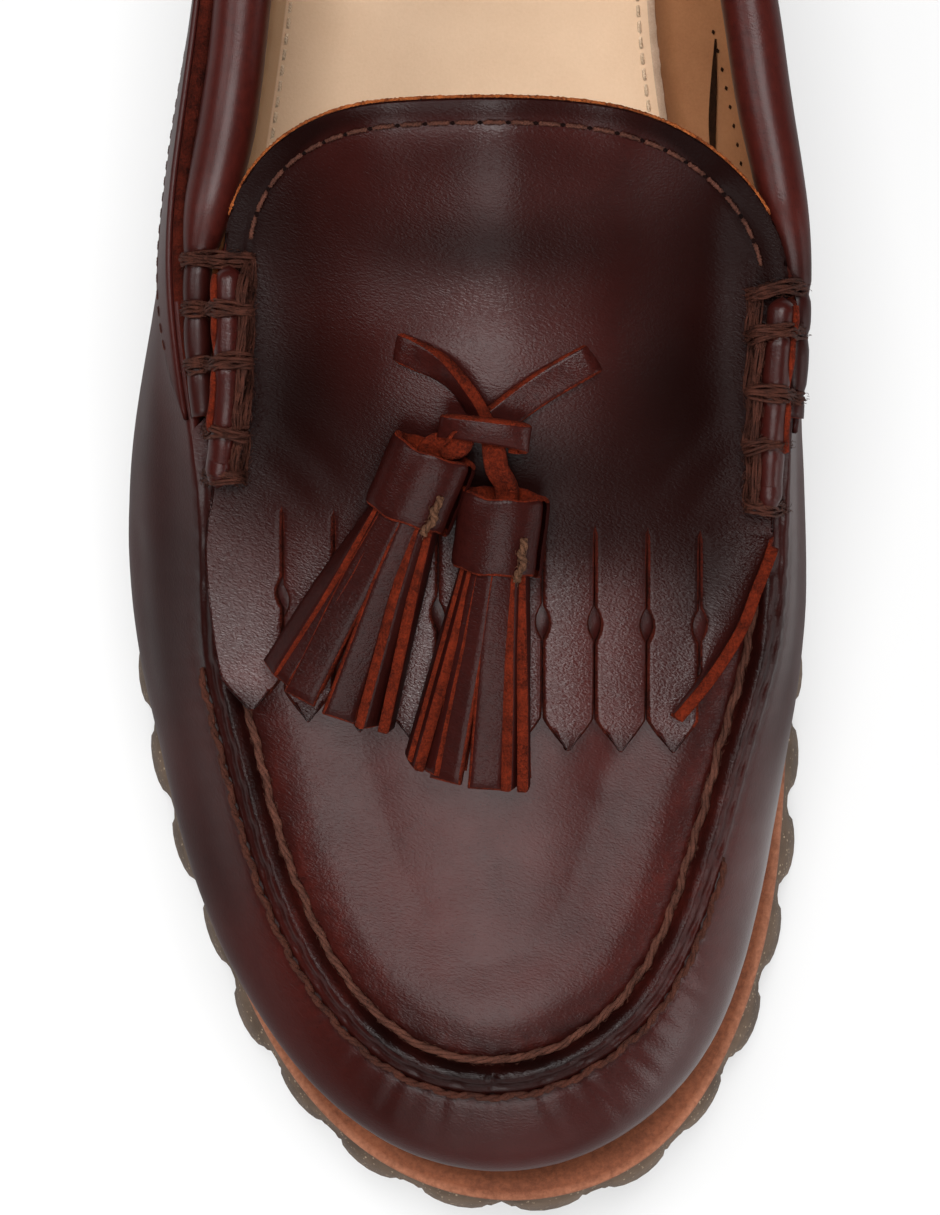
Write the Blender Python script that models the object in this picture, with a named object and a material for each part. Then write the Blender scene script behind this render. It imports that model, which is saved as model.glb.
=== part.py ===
"""Kiltie tassel loafer for the right foot.

Worked in millimetres and written out in metres. The toe points along -Y, the inner (medial) side
is +X and Z is up. The origin is on the floor, in the middle of the sole's length and width.
"""
import math
from collections import namedtuple

import bmesh
import bpy
import numpy as np
from mathutils import Vector
from mathutils.bvhtree import BVHTree

MM = 0.001

# Driving sizes
LENGTH = 298.0
BALL_WIDTH = 106.0
INSTEP_HEIGHT = 86.0
WALL = 2.2
GAP = 0.3
MIDSOLE = 4.5
INSOLE = 2.5
WELT = 6.0
LUG_DEPTH = 5.0
LUG_FLARE = 2.6
LUGS_PER_SIDE = 24
HEEL_BREAST = 20.0

# Sections from heel to toe: along is a percentage of the length, out a percentage of half the ball
# width (lateral negative), up a percentage of the instep height. The bulge is the widest line of
# the wall, the top is the collar line behind and the apron seam in front, the sole is the midsole edge.
Section = namedtuple("Section", "name bulge_along bulge_lat bulge_med top_along top_lat top_med top_up "
                                "sole_along sole_lat sole_med")
SECTIONS = [
    Section("heel back", 49.0, 4, 4, 46.5, 4, 4, 93, 49.3, 4, 4),
    Section("heel round", 46.3, -41.5, 47, 44.1, -36, 42.5, 90.5, 46.6, -43.5, 49),
    Section("heel", 38.6, -67, 70, 37.2, -58.5, 62, 81.5, 38.3, -70, 72.5),
    Section("heel breast", 28.2, -71.5, 74.5, 28.2, -67, 71, 73, 27.5, -70, 71.5),
    Section("waist", 16.8, -76.5, 81, 16.8, -74, 81.5, 69, 16, -72, 68),
    Section("quarter", 5.7, -86, 90, 6.0, -82, 90.5, 70, 5.7, -80, 74.5),
    Section("roll back", -2.3, -92.5, 95.5, -1.7, -85, 94.5, 71.5, -2.3, -87.5, 84),
    Section("roll", -9.3, -99, 97.5, -9.5, -80, 92, 69.5, -9.3, -93, 90.5),
    Section("roll front", -13.8, -100.5, 98.5, -14.0, -76.5, 89.5, 66.5, -13.8, -95.5, 93.5),
    Section("ball", -19.5, -98.5, 98.5, -19.5, -73.5, 85.5, 63, -19.5, -96, 95.5),
    Section("tread", -26.8, -90, 93, -26.2, -65.5, 76, 58.5, -26.8, -91, 94.5),
    Section("toe spring", -34.9, -76, 84, -33.2, -54, 65, 54.5, -34.2, -77.5, 90.5),
    Section("toe", -41.6, -55, 70, -38.9, -36, 49, 52, -41.3, -60, 78.5),
    Section("toe round", -46.1, -27.5, 44.5, -41.9, -15.5, 27, 51, -47.3, -30, 54),
    Section("toe tip", -47.9, 9.5, 9.5, -42.7, 6.5, 6.5, 51, -49.7, 9.5, 9.5),
]
ROLL_SECTION = 7

# Heights along the sole: the seat is the top of the midsole, the tread the underside of the lugs.
Profile = namedtuple("Profile", "along seat tread")
PROFILES = [
    Profile(-52.0, 28.4, 14.4),
    Profile(-43.5, 21.4, 7.3),
    Profile(-37.0, 17.4, 3.4),
    Profile(-30.0, 15.1, 0.9),
    Profile(-26.0, 14.3, 0.0),
    Profile(-19.5, 14.0, 0.0),
    Profile(-5.0, 14.3, 0.0),
    Profile(6.0, 16.2, 2.4),
    Profile(17.0, 20.5, 7.0),
    Profile(20.5, 22.3, 8.8),
    Profile(28.0, 26.0, 12.0),
    Profile(38.0, 28.6, 14.0),
    Profile(52.0, 29.8, 15.0),
]

# The crown line of the apron and tongue, with the seam station whose column ends there.
Crown = namedtuple("Crown", "seam_along along out up")
CROWNS = [
    Crown(-42.7, -36.0, 8.0, 57.0),
    Crown(-38.9, -34.6, 8.0, 58.0),
    Crown(-33.2, -31.0, 8.0, 60.5),
    Crown(-19.5, -19.3, 8.0, 70.5),
    Crown(-13.1, -6.0, 7.0, 83.0),
    Crown(-9.5, 5.4, 6.0, 95.5),
]

# The seam's rib, from its outer foot inwards: reach across and rise.
RIDGE_WIDTH = 5.4
Rib = namedtuple("Rib", "reach rise")
RIBS = [Rib(0.9, 1.9), Rib(2.4, 2.6), Rib(4.2, 1.7), Rib(RIDGE_WIDTH, 0.0)]

TONGUE_CORNER = 0.8
SHELF = 1.2
BACK_COLUMNS = 20
FRONT_COLUMNS = 22
APRON_ROWS = 5
TUCK_SHARES = [0.0, 0.5]
WALL_SHARES = [0.0, 0.3, 0.58, 0.82, 1.0]


def along_mm(percent):
    return np.asarray(percent, float) * LENGTH / 100.0


def out_mm(percent):
    return np.asarray(percent, float) * BALL_WIDTH / 200.0


def up_mm(percent):
    return np.asarray(percent, float) * INSTEP_HEIGHT / 100.0


def column(rows, name):
    return np.array([getattr(row, name) for row in rows], float)


# Curves

def smooth(xs, ys, at):
    """Monotone cubic through the points, flat past both ends."""
    xs = np.asarray(xs, float)
    ys = np.asarray(ys, float)
    order = np.argsort(xs)
    xs, ys = xs[order], ys[order]
    step = np.diff(xs)
    slope = np.diff(ys) / step
    tangent = np.zeros(len(xs))
    for k in range(1, len(xs) - 1):
        if slope[k - 1] * slope[k] > 0:
            tangent[k] = 2 * slope[k - 1] * slope[k] / (slope[k - 1] + slope[k])
    tangent[0], tangent[-1] = slope[0], slope[-1]
    at = np.clip(np.asarray(at, float), xs[0], xs[-1])
    k = np.clip(np.searchsorted(xs, at, side="right") - 1, 0, len(step) - 1)
    t = (at - xs[k]) / step[k]
    h = step[k]
    return (ys[k] * (1 + 2 * t) * (1 - t) ** 2 + tangent[k] * h * t * (1 - t) ** 2
            + ys[k + 1] * t * t * (3 - 2 * t) + tangent[k + 1] * h * t * t * (t - 1))


def closed_spline(knots, values, period, at):
    """Periodic cubic through the rows of values."""
    count = len(knots)
    step = np.diff(np.append(knots, period))
    matrix = np.zeros((count, count))
    right = np.zeros_like(values)
    for k in range(count):
        before, after = (k - 1) % count, (k + 1) % count
        h0, h1 = step[before], step[k]
        matrix[k, before] += h0
        matrix[k, k] += 2 * (h0 + h1)
        matrix[k, after] += h1
        right[k] = 6 * ((values[after] - values[k]) / h1 - (values[k] - values[before]) / h0)
    bend = np.linalg.solve(matrix, right)
    at = np.asarray(at, float) % period
    k = np.clip(np.searchsorted(knots, at, side="right") - 1, 0, count - 1)
    after = (k + 1) % count
    h = step[k][:, None]
    a = (at - knots[k])[:, None]
    b = h - a
    return (bend[k] * b ** 3 + bend[after] * a ** 3) / (6 * h) \
        + (values[k] / h - bend[k] * h / 6) * b + (values[after] / h - bend[after] * h / 6) * a


def ring_of(prefix, with_height=False):
    """Lateral side from heel to toe, then medial side back to the heel."""
    y = along_mm(column(SECTIONS, prefix + "_along"))
    lat = out_mm(column(SECTIONS, prefix + "_lat"))
    med = out_mm(column(SECTIONS, prefix + "_med"))
    ring = [np.append(lat, med[-2:0:-1]), np.append(y, y[-2:0:-1])]
    if with_height:
        z = up_mm(column(SECTIONS, prefix + "_up"))
        ring.append(np.append(z, z[-2:0:-1]))
    return np.stack(ring, axis=1)


def knots_of(ring):
    legs = np.linalg.norm(np.diff(np.vstack([ring, ring[:1]])[:, :2], axis=0), axis=1)
    return np.append(0.0, np.cumsum(legs[:-1])), legs.sum()


def half_shares(knots, period, back, front):
    """Column positions round the shoe, with columns at the heel, the rolls and the toe."""
    toe = len(SECTIONS) - 1
    stops = [knots[0], knots[ROLL_SECTION], knots[toe], knots[2 * toe - ROLL_SECTION], period]
    counts = [back, front, front, back]
    parts = [np.linspace(stops[k], stops[k + 1], counts[k], endpoint=False) for k in range(4)]
    return np.concatenate(parts)


def plan_normals(points):
    """Outward direction in plan of a closed loop that runs heel, lateral, toe, medial."""
    tangent = np.roll(points[:, :2], -1, axis=0) - np.roll(points[:, :2], 1, axis=0)
    normal = np.stack([tangent[:, 1], -tangent[:, 0]], axis=1)
    normal /= np.linalg.norm(normal, axis=1)[:, None]
    return normal


def seat(y):
    return smooth(along_mm(column(PROFILES, "along")), column(PROFILES, "seat"), y)


def tread(y):
    arch = smooth(along_mm(column(PROFILES, "along")), column(PROFILES, "tread"), y)
    return np.where(np.asarray(y) > along_mm(HEEL_BREAST), 0.0, arch)


def sole_columns(count_per_side):
    """Midsole edge and its outward direction, columns even along each side."""
    ring = ring_of("sole")
    knots, period = knots_of(ring)
    toe = knots[len(SECTIONS) - 1]
    at = np.append(np.linspace(0, toe, count_per_side, endpoint=False),
                   np.linspace(toe, period, count_per_side, endpoint=False))
    points = closed_spline(knots, ring, period, at)
    return points, plan_normals(points)


# Meshes

def node(name, points, faces, material):
    mesh = bpy.data.meshes.new(name)
    mesh.from_pydata([tuple(np.asarray(p, float) * MM) for p in points], [], faces)
    build = bmesh.new()
    build.from_mesh(mesh)
    bmesh.ops.recalc_face_normals(build, faces=build.faces[:])
    build.to_mesh(mesh)
    build.free()
    mesh.shade_smooth()
    mesh.set_sharp_from_angle(angle=math.radians(40))
    made = bpy.data.objects.new(name, mesh)
    bpy.context.scene.collection.objects.link(made)
    made.parent = ROOT
    made.data.materials.append(material)
    return made


def surface_normals(points, faces):
    normals = np.zeros_like(points)
    for face in faces:
        a, b, c, d = [points[face[k % len(face)]] for k in (0, 1, 2, 3)]
        across = np.cross(c - a, (d - b) if len(face) == 4 else (c - b))
        for k in face:
            normals[k] += across
    return normals / np.maximum(np.linalg.norm(normals, axis=1), 1e-9)[:, None]


def shell_faces(faces, count):
    """Outer sheet, inner sheet and the rims between them; inner points follow the outer ones."""
    edges = {}
    for face in faces:
        for k in range(len(face)):
            a, b = face[k], face[(k + 1) % len(face)]
            edges[(a, b)] = True
    made = [tuple(face) for face in faces]
    made += [tuple(count + k for k in reversed(face)) for face in faces]
    for a, b in edges:
        if (b, a) not in edges:
            made.append((b, a, count + a, count + b))
    return made


def band(first, second):
    """Quads between two closed rings of vertex numbers."""
    count = len(first)
    return [(first[k], first[(k + 1) % count], second[(k + 1) % count], second[k]) for k in range(count)]


def ladder(ring):
    """Fills a closed ring with rungs from one side to the other; number 0 is the heel."""
    count = len(ring)
    half = count // 2
    faces = [(ring[0], ring[1], ring[count - 1])]
    for k in range(1, half - 1):
        faces.append((ring[k], ring[k + 1], ring[count - k - 1], ring[count - k]))
    faces.append((ring[half - 1], ring[half], ring[half + 1]))
    return faces


def tube(rings):
    """Closed body through rings of the same count, with flat ends."""
    count = len(rings[0])
    points = [p for ring in rings for p in ring]
    faces = []
    for k in range(len(rings) - 1):
        first = list(range(k * count, (k + 1) * count))
        faces += band(first, [j + count for j in first])
    faces.append(tuple(range(count - 1, -1, -1)))
    last = (len(rings) - 1) * count
    faces.append(tuple(range(last, last + count)))
    return points, faces


def material(name, colour, roughness):
    made = bpy.data.materials.new(name)
    made.use_nodes = True
    shader = made.node_tree.nodes["Principled BSDF"]
    shader.inputs["Base Color"].default_value = (*colour, 1.0)
    shader.inputs["Roughness"].default_value = roughness
    shader.inputs["Metallic"].default_value = 0.0
    made.diffuse_color = (*colour, 1.0)
    return made


# Upper

def upper_columns(back, front):
    """Feather, bulge and top points of every column round the shoe, and the columns' crown ends."""
    bulge_ring = ring_of("bulge")
    knots, period = knots_of(bulge_ring)
    at = half_shares(knots, period, back, front)
    bulge = closed_spline(knots, bulge_ring, period, at)
    top = closed_spline(knots, ring_of("top", True), period, at)
    sole = closed_spline(knots, ring_of("sole"), period, at)
    feather = sole - WELT * plan_normals(sole)
    count = len(at)
    mirror = (count - np.arange(count)) % count
    seam_y = 0.5 * (top[:, 1] + top[mirror, 1])
    seams = along_mm(column(CROWNS, "seam_along"))
    crown = np.stack([smooth(seams, out_mm(column(CROWNS, "out")), seam_y),
                      smooth(seams, along_mm(column(CROWNS, "along")), seam_y),
                      smooth(seams, up_mm(column(CROWNS, "up")), seam_y)], axis=1)
    from_roll = np.minimum(np.arange(count) - back, count - back - np.arange(count)) / front
    return feather, bulge, top, crown, np.clip(from_roll, 0.0, 1.0)


def wall_column(feather, bulge, top):
    """Tuck under the bulge, then a parabola that leans in to the top."""
    low = float(seat(feather[1])) + GAP
    inset = math.hypot(*(bulge - feather))
    rise = min(8.0 + 0.75 * inset, 0.55 * (top[2] - low))
    points = []
    for t in TUCK_SHARES:
        lean = (1 - t) ** 2
        place = bulge + (feather - bulge) * lean
        points.append((place[0], place[1], low + rise * t))
    for t in WALL_SHARES:
        place = bulge + (top[:2] - bulge) * t ** 2
        points.append((place[0], place[1], low + rise + (top[2] - low - rise) * t))
    return points


def apron_column(start, crown, bow):
    """From the seam's inner foot up to the crown line, the last point left to the crown."""
    points = []
    for k in range(APRON_ROWS):
        r = k / APRON_ROWS
        turn = r * math.pi / 2
        across = r + bow * (1 - math.cos(turn) ** TONGUE_CORNER - r)
        along = r + bow * (math.sin(turn) ** TONGUE_CORNER - r)
        climb = math.sin(across ** SHELF * math.pi / 2)
        points.append((start[0] + (crown[0] - start[0]) * across,
                       start[1] + (crown[1] - start[1]) * along,
                       start[2] + (crown[2] - start[2]) * climb))
    return points


def upper_sheet(back, front, ridge):
    """Points and faces of the upper's outer skin, with or without the seam's rib."""
    feather, bulge, top, crown, from_roll = upper_columns(back, front)
    count = len(top)
    points, grid = [], []
    for i in range(count):
        is_front = back <= i <= count - back
        toward = crown[i, :2] - top[i, :2]
        toward = toward / np.linalg.norm(toward)
        fade = min(1.0, from_roll[i] * 4.0)
        foot = top[i].copy()
        if is_front:
            foot[:2] -= toward * 0.5 * RIDGE_WIDTH * fade
            foot[2] -= 0.8 * fade
        rows = wall_column(feather[i], bulge[i], foot)
        if is_front:
            bow = (1 - min(1.0, from_roll[i] * 2.2)) ** 2
            for rib in RIBS:
                place = foot[:2] + toward * rib.reach
                lift = rib.rise * fade * ridge + 0.8 * fade * rib.reach / RIDGE_WIDTH
                rows.append((place[0], place[1], foot[2] + lift))
            rows += apron_column(np.array(rows[-1]), crown[i], bow)[1:]
        grid.append(list(range(len(points), len(points) + len(rows))))
        points += rows
    half = count // 2
    for i in range(back, half + 1):
        spine = len(points)
        points.append(tuple(crown[i]))
        grid[i].append(spine)
        if i != half:
            grid[count - i].append(spine)
    faces = []
    for i in range(count):
        one, two = grid[i], grid[(i + 1) % count]
        for k in range(min(len(one), len(two)) - 1):
            faces.append((one[k], two[k], two[k + 1], one[k + 1]))
    return np.array(points, float), faces


def make_upper(leather):
    outer, faces = upper_sheet(BACK_COLUMNS, FRONT_COLUMNS, 1.0)
    base, _ = upper_sheet(BACK_COLUMNS, FRONT_COLUMNS, 0.0)
    normals = surface_normals(base, faces)
    if normals[0, 1] < 0:
        normals = -normals
    inner = base - WALL * normals
    points = np.vstack([outer, inner])
    return node("upper", points, shell_faces(faces, len(outer)), leather)


# Sole

def make_midsole(leather):
    points, normals = sole_columns(52)
    count = len(points)
    top_z = seat(points[:, 1])
    inner = points - 1.2 * normals
    rings = [np.column_stack([inner, seat(inner[:, 1])]),
             np.column_stack([points, top_z - 0.9]),
             np.column_stack([points, top_z - MIDSOLE])]
    number = [list(range(k * count, (k + 1) * count)) for k in range(3)]
    faces = ladder(number[0]) + band(number[0], number[1]) + band(number[1], number[2])
    faces += [tuple(reversed(face)) for face in ladder(number[2])]
    return node("midsole", np.vstack(rings), faces, leather)


def make_insole(leather):
    points, normals = sole_columns(44)
    count = len(points)
    edge = points - (WELT + WALL + 1.2) * normals
    base_z = seat(edge[:, 1]) + GAP
    rings = [np.column_stack([edge, base_z + INSOLE]), np.column_stack([edge, base_z])]
    number = [list(range(k * count, (k + 1) * count)) for k in range(2)]
    faces = ladder(number[0]) + band(number[0], number[1])
    faces += [tuple(reversed(face)) for face in ladder(number[1])]
    return node("insole", np.vstack(rings), faces, leather)


# Columns of one lug's pitch: place in the pitch, how far it reaches out, and whether it is a lug.
LugColumn = namedtuple("LugColumn", "place reach lug")
LUG_COLUMNS = [LugColumn(0.0, -0.5, 0), LugColumn(0.16, -0.5, 0), LugColumn(0.24, 0.7, 1),
               LugColumn(0.58, 1.0, 1), LugColumn(0.92, 0.7, 1)]
LUG_REACH_IN = 15.0
CENTRE_SHARES = [0.22, 0.26, 0.74, 0.78]


def lug_columns():
    """Midsole edge points, outward directions and lug flags, the same lugs on both sides."""
    ring = ring_of("sole")
    knots, period = knots_of(ring)
    toe = knots[len(SECTIONS) - 1]
    places = np.array([(k + c.place - 0.08) / LUGS_PER_SIDE for k in range(LUGS_PER_SIDE) for c in LUG_COLUMNS])
    reach = np.array([c.reach for c in LUG_COLUMNS] * LUGS_PER_SIDE)
    lug = np.array([c.lug for c in LUG_COLUMNS] * LUGS_PER_SIDE)
    places[0] = 0.0
    lateral = closed_spline(knots, ring, period, places * toe)
    medial = closed_spline(knots, ring, period, period - places[1:] * (period - toe))
    tip = closed_spline(knots, ring, period, [toe])
    points = np.vstack([lateral, tip, medial[::-1]])
    order = np.concatenate([np.arange(len(places)), [0], np.arange(len(places) - 1, 0, -1)])
    return points, plan_normals(points), reach[order], lug[order]


def make_outsole(rubber):
    points, normals, reach, lug = lug_columns()
    count = len(points)
    low = tread(points[:, 1])
    top_z = seat(points[:, 1]) - MIDSOLE - GAP
    shoulder = np.minimum(top_z - 1.2, low + LUG_DEPTH + 1.5)
    roof = np.minimum(low + LUG_DEPTH, shoulder - 0.8)
    side_z = np.where(lug == 1, low, roof)
    out = reach[:, None] * LUG_FLARE * normals
    half_out = np.maximum(reach, 0.0)[:, None] * 0.6 * LUG_FLARE * normals
    inner_lug = points - LUG_REACH_IN * normals
    recess = points - (LUG_REACH_IN + 1.2) * normals
    rings = [np.column_stack([points - 0.3 * normals, top_z]),
             np.column_stack([points + half_out, shoulder]),
             np.column_stack([points + out, side_z]),
             np.column_stack([inner_lug, side_z]),
             np.column_stack([recess, roof])]
    verts = [tuple(p) for ring in rings for p in ring]
    number = [list(range(k * count, (k + 1) * count)) for k in range(len(rings))]
    faces = ladder(number[0])
    for k in range(len(rings) - 1):
        faces += band(number[k], number[k + 1])
    faces += centre_lugs(verts, number[-1], low, roof, lug)
    return node("outsole", verts, faces, rubber)


def centre_lugs(verts, ring, low, roof, lug):
    """Rungs across the middle; the lug columns drop to the tread between the middle shares."""
    count = len(ring)
    half = count // 2
    rungs = []
    for k in range(1, half):
        left, right = np.array(verts[ring[k]]), np.array(verts[ring[count - k]])
        row = [ring[k]]
        for share in CENTRE_SHARES:
            place = left + (right - left) * share
            middle = 0.3 < share < 0.7 or share in CENTRE_SHARES[1:3]
            wide = abs(right[0] - left[0]) > 22.0
            if middle and wide and lug[k] == 1:
                place[2] = 0.5 * (low[k] + low[count - k])
            row.append(len(verts))
            verts.append(tuple(place))
        row.append(ring[count - k])
        rungs.append(row)
    faces = []
    for one, two in zip(rungs[:-1], rungs[1:]):
        for j in range(len(one) - 1):
            faces.append((one[j], one[j + 1], two[j + 1], two[j]))
    faces.append(tuple(reversed([ring[0]] + rungs[0])))
    faces.append(tuple([ring[half]] + list(rungs[-1])))
    return faces


# Draping on what is already built

def ground_of(objects):
    """Ray-cast trees of built nodes, in metres."""
    trees = []
    for made in objects:
        corners = [v.co for v in made.data.vertices]
        trees.append(BVHTree.FromPolygons(corners, [tuple(p.vertices) for p in made.data.polygons]))
    return trees


def height_at(trees, x, y, spread=0.0):
    """Highest surface under a spot and, with a spread, round it, in millimetres."""
    spots = [(x, y)]
    for k in range(8 if spread else 0):
        turn = k * math.pi / 4
        spots.append((x + spread * math.cos(turn), y + spread * math.sin(turn)))
    best = -1.0
    for sx, sy in spots:
        for tree in trees:
            hit = tree.ray_cast(Vector((sx * MM, sy * MM, 0.3)), Vector((0, 0, -1)))[0]
            if hit is not None:
                best = max(best, hit.z / MM)
    return best


# Collar roll: its centre lies inward of and above the wall's top edge.
Collar = namedtuple("Collar", "side along inward lift radius")
COLLARS = [
    Collar("lateral", -9.0, 2.6, 2.6, 2.1),
    Collar("lateral", -2.0, 3.8, 2.7, 2.6),
    Collar("lateral", 2.5, 5.6, 2.4, 4.0),
    Collar("lateral", 7.0, 6.6, 1.5, 4.4),
    Collar("lateral", 17.0, 6.0, 2.6, 4.4),
    Collar("lateral", 30.0, 5.0, 3.6, 4.3),
    Collar("heel", 46.5, 4.6, 3.9, 4.2),
    Collar("medial", 30.0, 3.6, 4.5, 4.3),
    Collar("medial", 17.0, 3.0, 4.6, 4.4),
    Collar("medial", 7.0, 2.9, 4.6, 4.2),
    Collar("medial", 2.5, 2.2, 4.4, 3.8),
    Collar("medial", -2.0, 0.9, 3.2, 2.4),
    Collar("medial", -9.0, 0.5, 2.8, 2.1),
]
COLLAR_STEPS = 44
COLLAR_SIDES = 10


def collar_path():
    """Centre points, sideways directions and radii from the lateral end round the heel."""
    bulge = ring_of("bulge")
    knots, period = knots_of(bulge)
    ring = ring_of("top", True)
    fine = np.linspace(-0.5 * period, 0.5 * period, 1201)
    track = closed_spline(knots, ring, period, fine)
    first = along_mm(COLLARS[0].along)
    last = along_mm(COLLARS[-1].along)
    lateral = fine[(fine > 0) & (track[:, 1] > first)].max()
    medial = fine[(fine < 0) & (track[:, 1] > last)].min()
    at = np.linspace(lateral, medial, COLLAR_STEPS)
    points = closed_spline(knots, ring, period, at)
    ahead = closed_spline(knots, ring, period, at - 0.5) - closed_spline(knots, ring, period, at + 0.5)
    inward = np.stack([ahead[:, 1], -ahead[:, 0]], axis=1)
    inward /= np.linalg.norm(inward, axis=1)[:, None]
    reach = walk_of(points[:, 1], [c.side for c in COLLARS], along_mm(column(COLLARS, "along")))
    inset = smooth(range(len(COLLARS)), column(COLLARS, "inward"), reach)
    lift = smooth(range(len(COLLARS)), column(COLLARS, "lift"), reach)
    radius = smooth(range(len(COLLARS)), column(COLLARS, "radius"), reach)
    centre = np.column_stack([points[:, :2] + inset[:, None] * inward, points[:, 2] + lift])
    return centre, inward, radius


def walk_of(ys, sides, stations):
    """Row number, with its fraction, of each point of a path that goes round the heel."""
    heel = sides.index("heel")
    turn = int(np.argmax(ys))
    rows = np.arange(len(stations), dtype=float)
    going = np.interp(ys[:turn + 1], stations[:heel + 1], rows[:heel + 1])
    coming = np.interp(ys[turn + 1:], stations[heel:][::-1], rows[heel:][::-1])
    return np.append(going, coming)


def make_collar(leather):
    centre, inward, radius = collar_path()
    rings = []
    for k in range(len(centre)):
        side = np.array([inward[k, 0], inward[k, 1], 0.0])
        ring = []
        for j in range(COLLAR_SIDES):
            turn = 2 * math.pi * j / COLLAR_SIDES
            ring.append(centre[k] + radius[k] * (math.cos(turn) * side + math.sin(turn) * np.array([0, 0, 1.0])))
        rings.append(ring)
    points, faces = tube(rings)
    return node("collar_roll", points, faces, leather)


# Kiltie: edges along the shoe, slits between strips, lens holes and pointed tips.
KILTIE = 1.8
STRIPS = 10
EDGE_STRIP = 0.13
SLIT = 0.5
LENS = 2.2
TIP = 5.2
TONGUE_TOP = 7.0
TONGUE_ROUND = {"lateral": 4.0, "medial": 2.5}
BODY_ROWS = 8
KiltieEdge = namedtuple("KiltieEdge", "along lateral medial")
KILTIE_EDGES = [
    KiltieEdge(8.0, -69.5, 91),
    KiltieEdge(0.0, -70, 91),
    KiltieEdge(-7.0, -70.5, 88.5),
    KiltieEdge(-12.4, -74, 87),
    KiltieEdge(-15.5, -76.0, 87),
    KiltieEdge(-19.0, -74.5, 80),
    KiltieEdge(-21.5, -72.5, 73),
    KiltieEdge(-24.0, -68, 66),
]
KiltieEnd = namedtuple("KiltieEnd", "share tongue root shoulder")
KILTIE_ENDS = [
    KiltieEnd(0.0, -0.7, -13.2, -21.8),
    KiltieEnd(0.5, -1.5, -14.2, -24.0),
    KiltieEnd(1.0, -2.7, -14.8, -24.4),
]
Hang = namedtuple("Hang", "share gap")
HANGS = [Hang(0.0, 0.0), Hang(0.12, 1.0), Hang(0.42, 1.0), Hang(0.5, LENS / SLIT), Hang(0.58, 1.0), Hang(1.0, 1.0)]
CURL = 4.5
FLAP_LOWEST = 0.55 * INSTEP_HEIGHT
FLAP_PROBE = 2.8
FLAP_EASE = 0.3
TONGUE_RISE = 0.35


def kiltie_edge(side, y):
    return smooth(along_mm(column(KILTIE_EDGES, "along")), out_mm(column(KILTIE_EDGES, side)), y)


def kiltie_end(name, share):
    return smooth(column(KILTIE_ENDS, "share"), along_mm(column(KILTIE_ENDS, name)), share)


def tongue_edge(share):
    """Arched top edge, from the sides up to the crown."""
    low = float(kiltie_end("tongue", share))
    off = abs(2 * share - 1)
    power = TONGUE_ROUND["lateral" if share < 0.5 else "medial"]
    return low + (along_mm(TONGUE_TOP) - low) * math.sqrt(max(0.0, 1 - off ** power))


def slit_share(k):
    return EDGE_STRIP + (1 - 2 * EDGE_STRIP) * k / (STRIPS - 2)


def kiltie_x(share, y):
    return float(kiltie_edge("lateral", y)) * (1 - share) + float(kiltie_edge("medial", y)) * share


def strip_bounds(k):
    left = 0.0 if k == 0 else slit_share(k - 1)
    right = 1.0 if k == STRIPS - 1 else slit_share(k)
    return left, right


def kiltie_plan():
    """Plan points, lifts and faces of the flap; strips share a corner at each slit's root."""
    spots, lifts, faces = [], [], []

    def add(x, y, lift=0.0):
        spots.append((x, y))
        lifts.append(lift)
        return len(spots) - 1

    shares = [0.0]
    for k in range(STRIPS):
        left, right = strip_bounds(k)
        shares += [0.5 * (left + right), right]
    body = []
    for row in range(BODY_ROWS + 1):
        r = row / BODY_ROWS
        line = []
        for share in shares:
            y = tongue_edge(share) * (1 - r) + float(kiltie_end("root", share)) * r
            line.append(add(kiltie_x(share, y), y))
        body.append(line)
    for one, two in zip(body[:-1], body[1:]):
        for j in range(len(one) - 1):
            faces.append((one[j], two[j], two[j + 1], one[j + 1]))
    for k in range(STRIPS):
        faces += hang_strip(add, body[-1][2 * k:2 * k + 3], k)
    return spots, lifts, faces


def hang_strip(add, root, k):
    """One strip: its sides stand off the slits, the outer sides follow the flap's edges."""
    left, right = strip_bounds(k)
    middle = 0.5 * (left + right)
    root_y = float(kiltie_end("root", middle))
    end_y = float(kiltie_end("shoulder", middle))
    outer = k == STRIPS - 1
    if outer:
        end_y += 0.55 * TIP
    rows = [root]
    for hang in HANGS[1:]:
        y = root_y + (end_y - root_y) * hang.share
        gap = 0.5 * SLIT * hang.gap
        x_left = kiltie_x(left, float(kiltie_edge_y(left))) + gap if k else kiltie_x(0.0, y)
        x_right = kiltie_x(right, float(kiltie_edge_y(right))) - gap
        if outer:
            x_right = max(kiltie_x(1.0, y), x_left + 1.0)
        curl = CURL * math.sin(hang.share * math.pi / 2) if outer else 0.0
        rows.append([add(x_left, y), add(0.5 * (x_left + x_right), y, 0.35 * curl), add(x_right, y, curl)])
    faces = []
    for one, two in zip(rows[:-1], rows[1:]):
        faces += [(one[0], two[0], two[1], one[1]), (one[1], two[1], two[2], one[2])]
    if not outer:
        x_tip = 0.5 * (x_left + x_right)
        tip = add(x_tip, end_y - TIP)
        low = rows[-1]
        faces += [(low[0], tip, low[1]), (low[1], tip, low[2])]
    return faces


def kiltie_edge_y(share):
    return kiltie_end("root", share)


def drape(trees, x, y):
    """Height of the flap's underside; past the plug's edge it rises on from the nearest height."""
    for past in (0.0, 1.5, 3.0, 5.0, 8.0, 12.0):
        found = height_at(trees, x, y, FLAP_PROBE + past)
        if found > FLAP_LOWEST:
            return found + GAP + FLAP_EASE + TONGUE_RISE * past
    return FLAP_LOWEST


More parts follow.
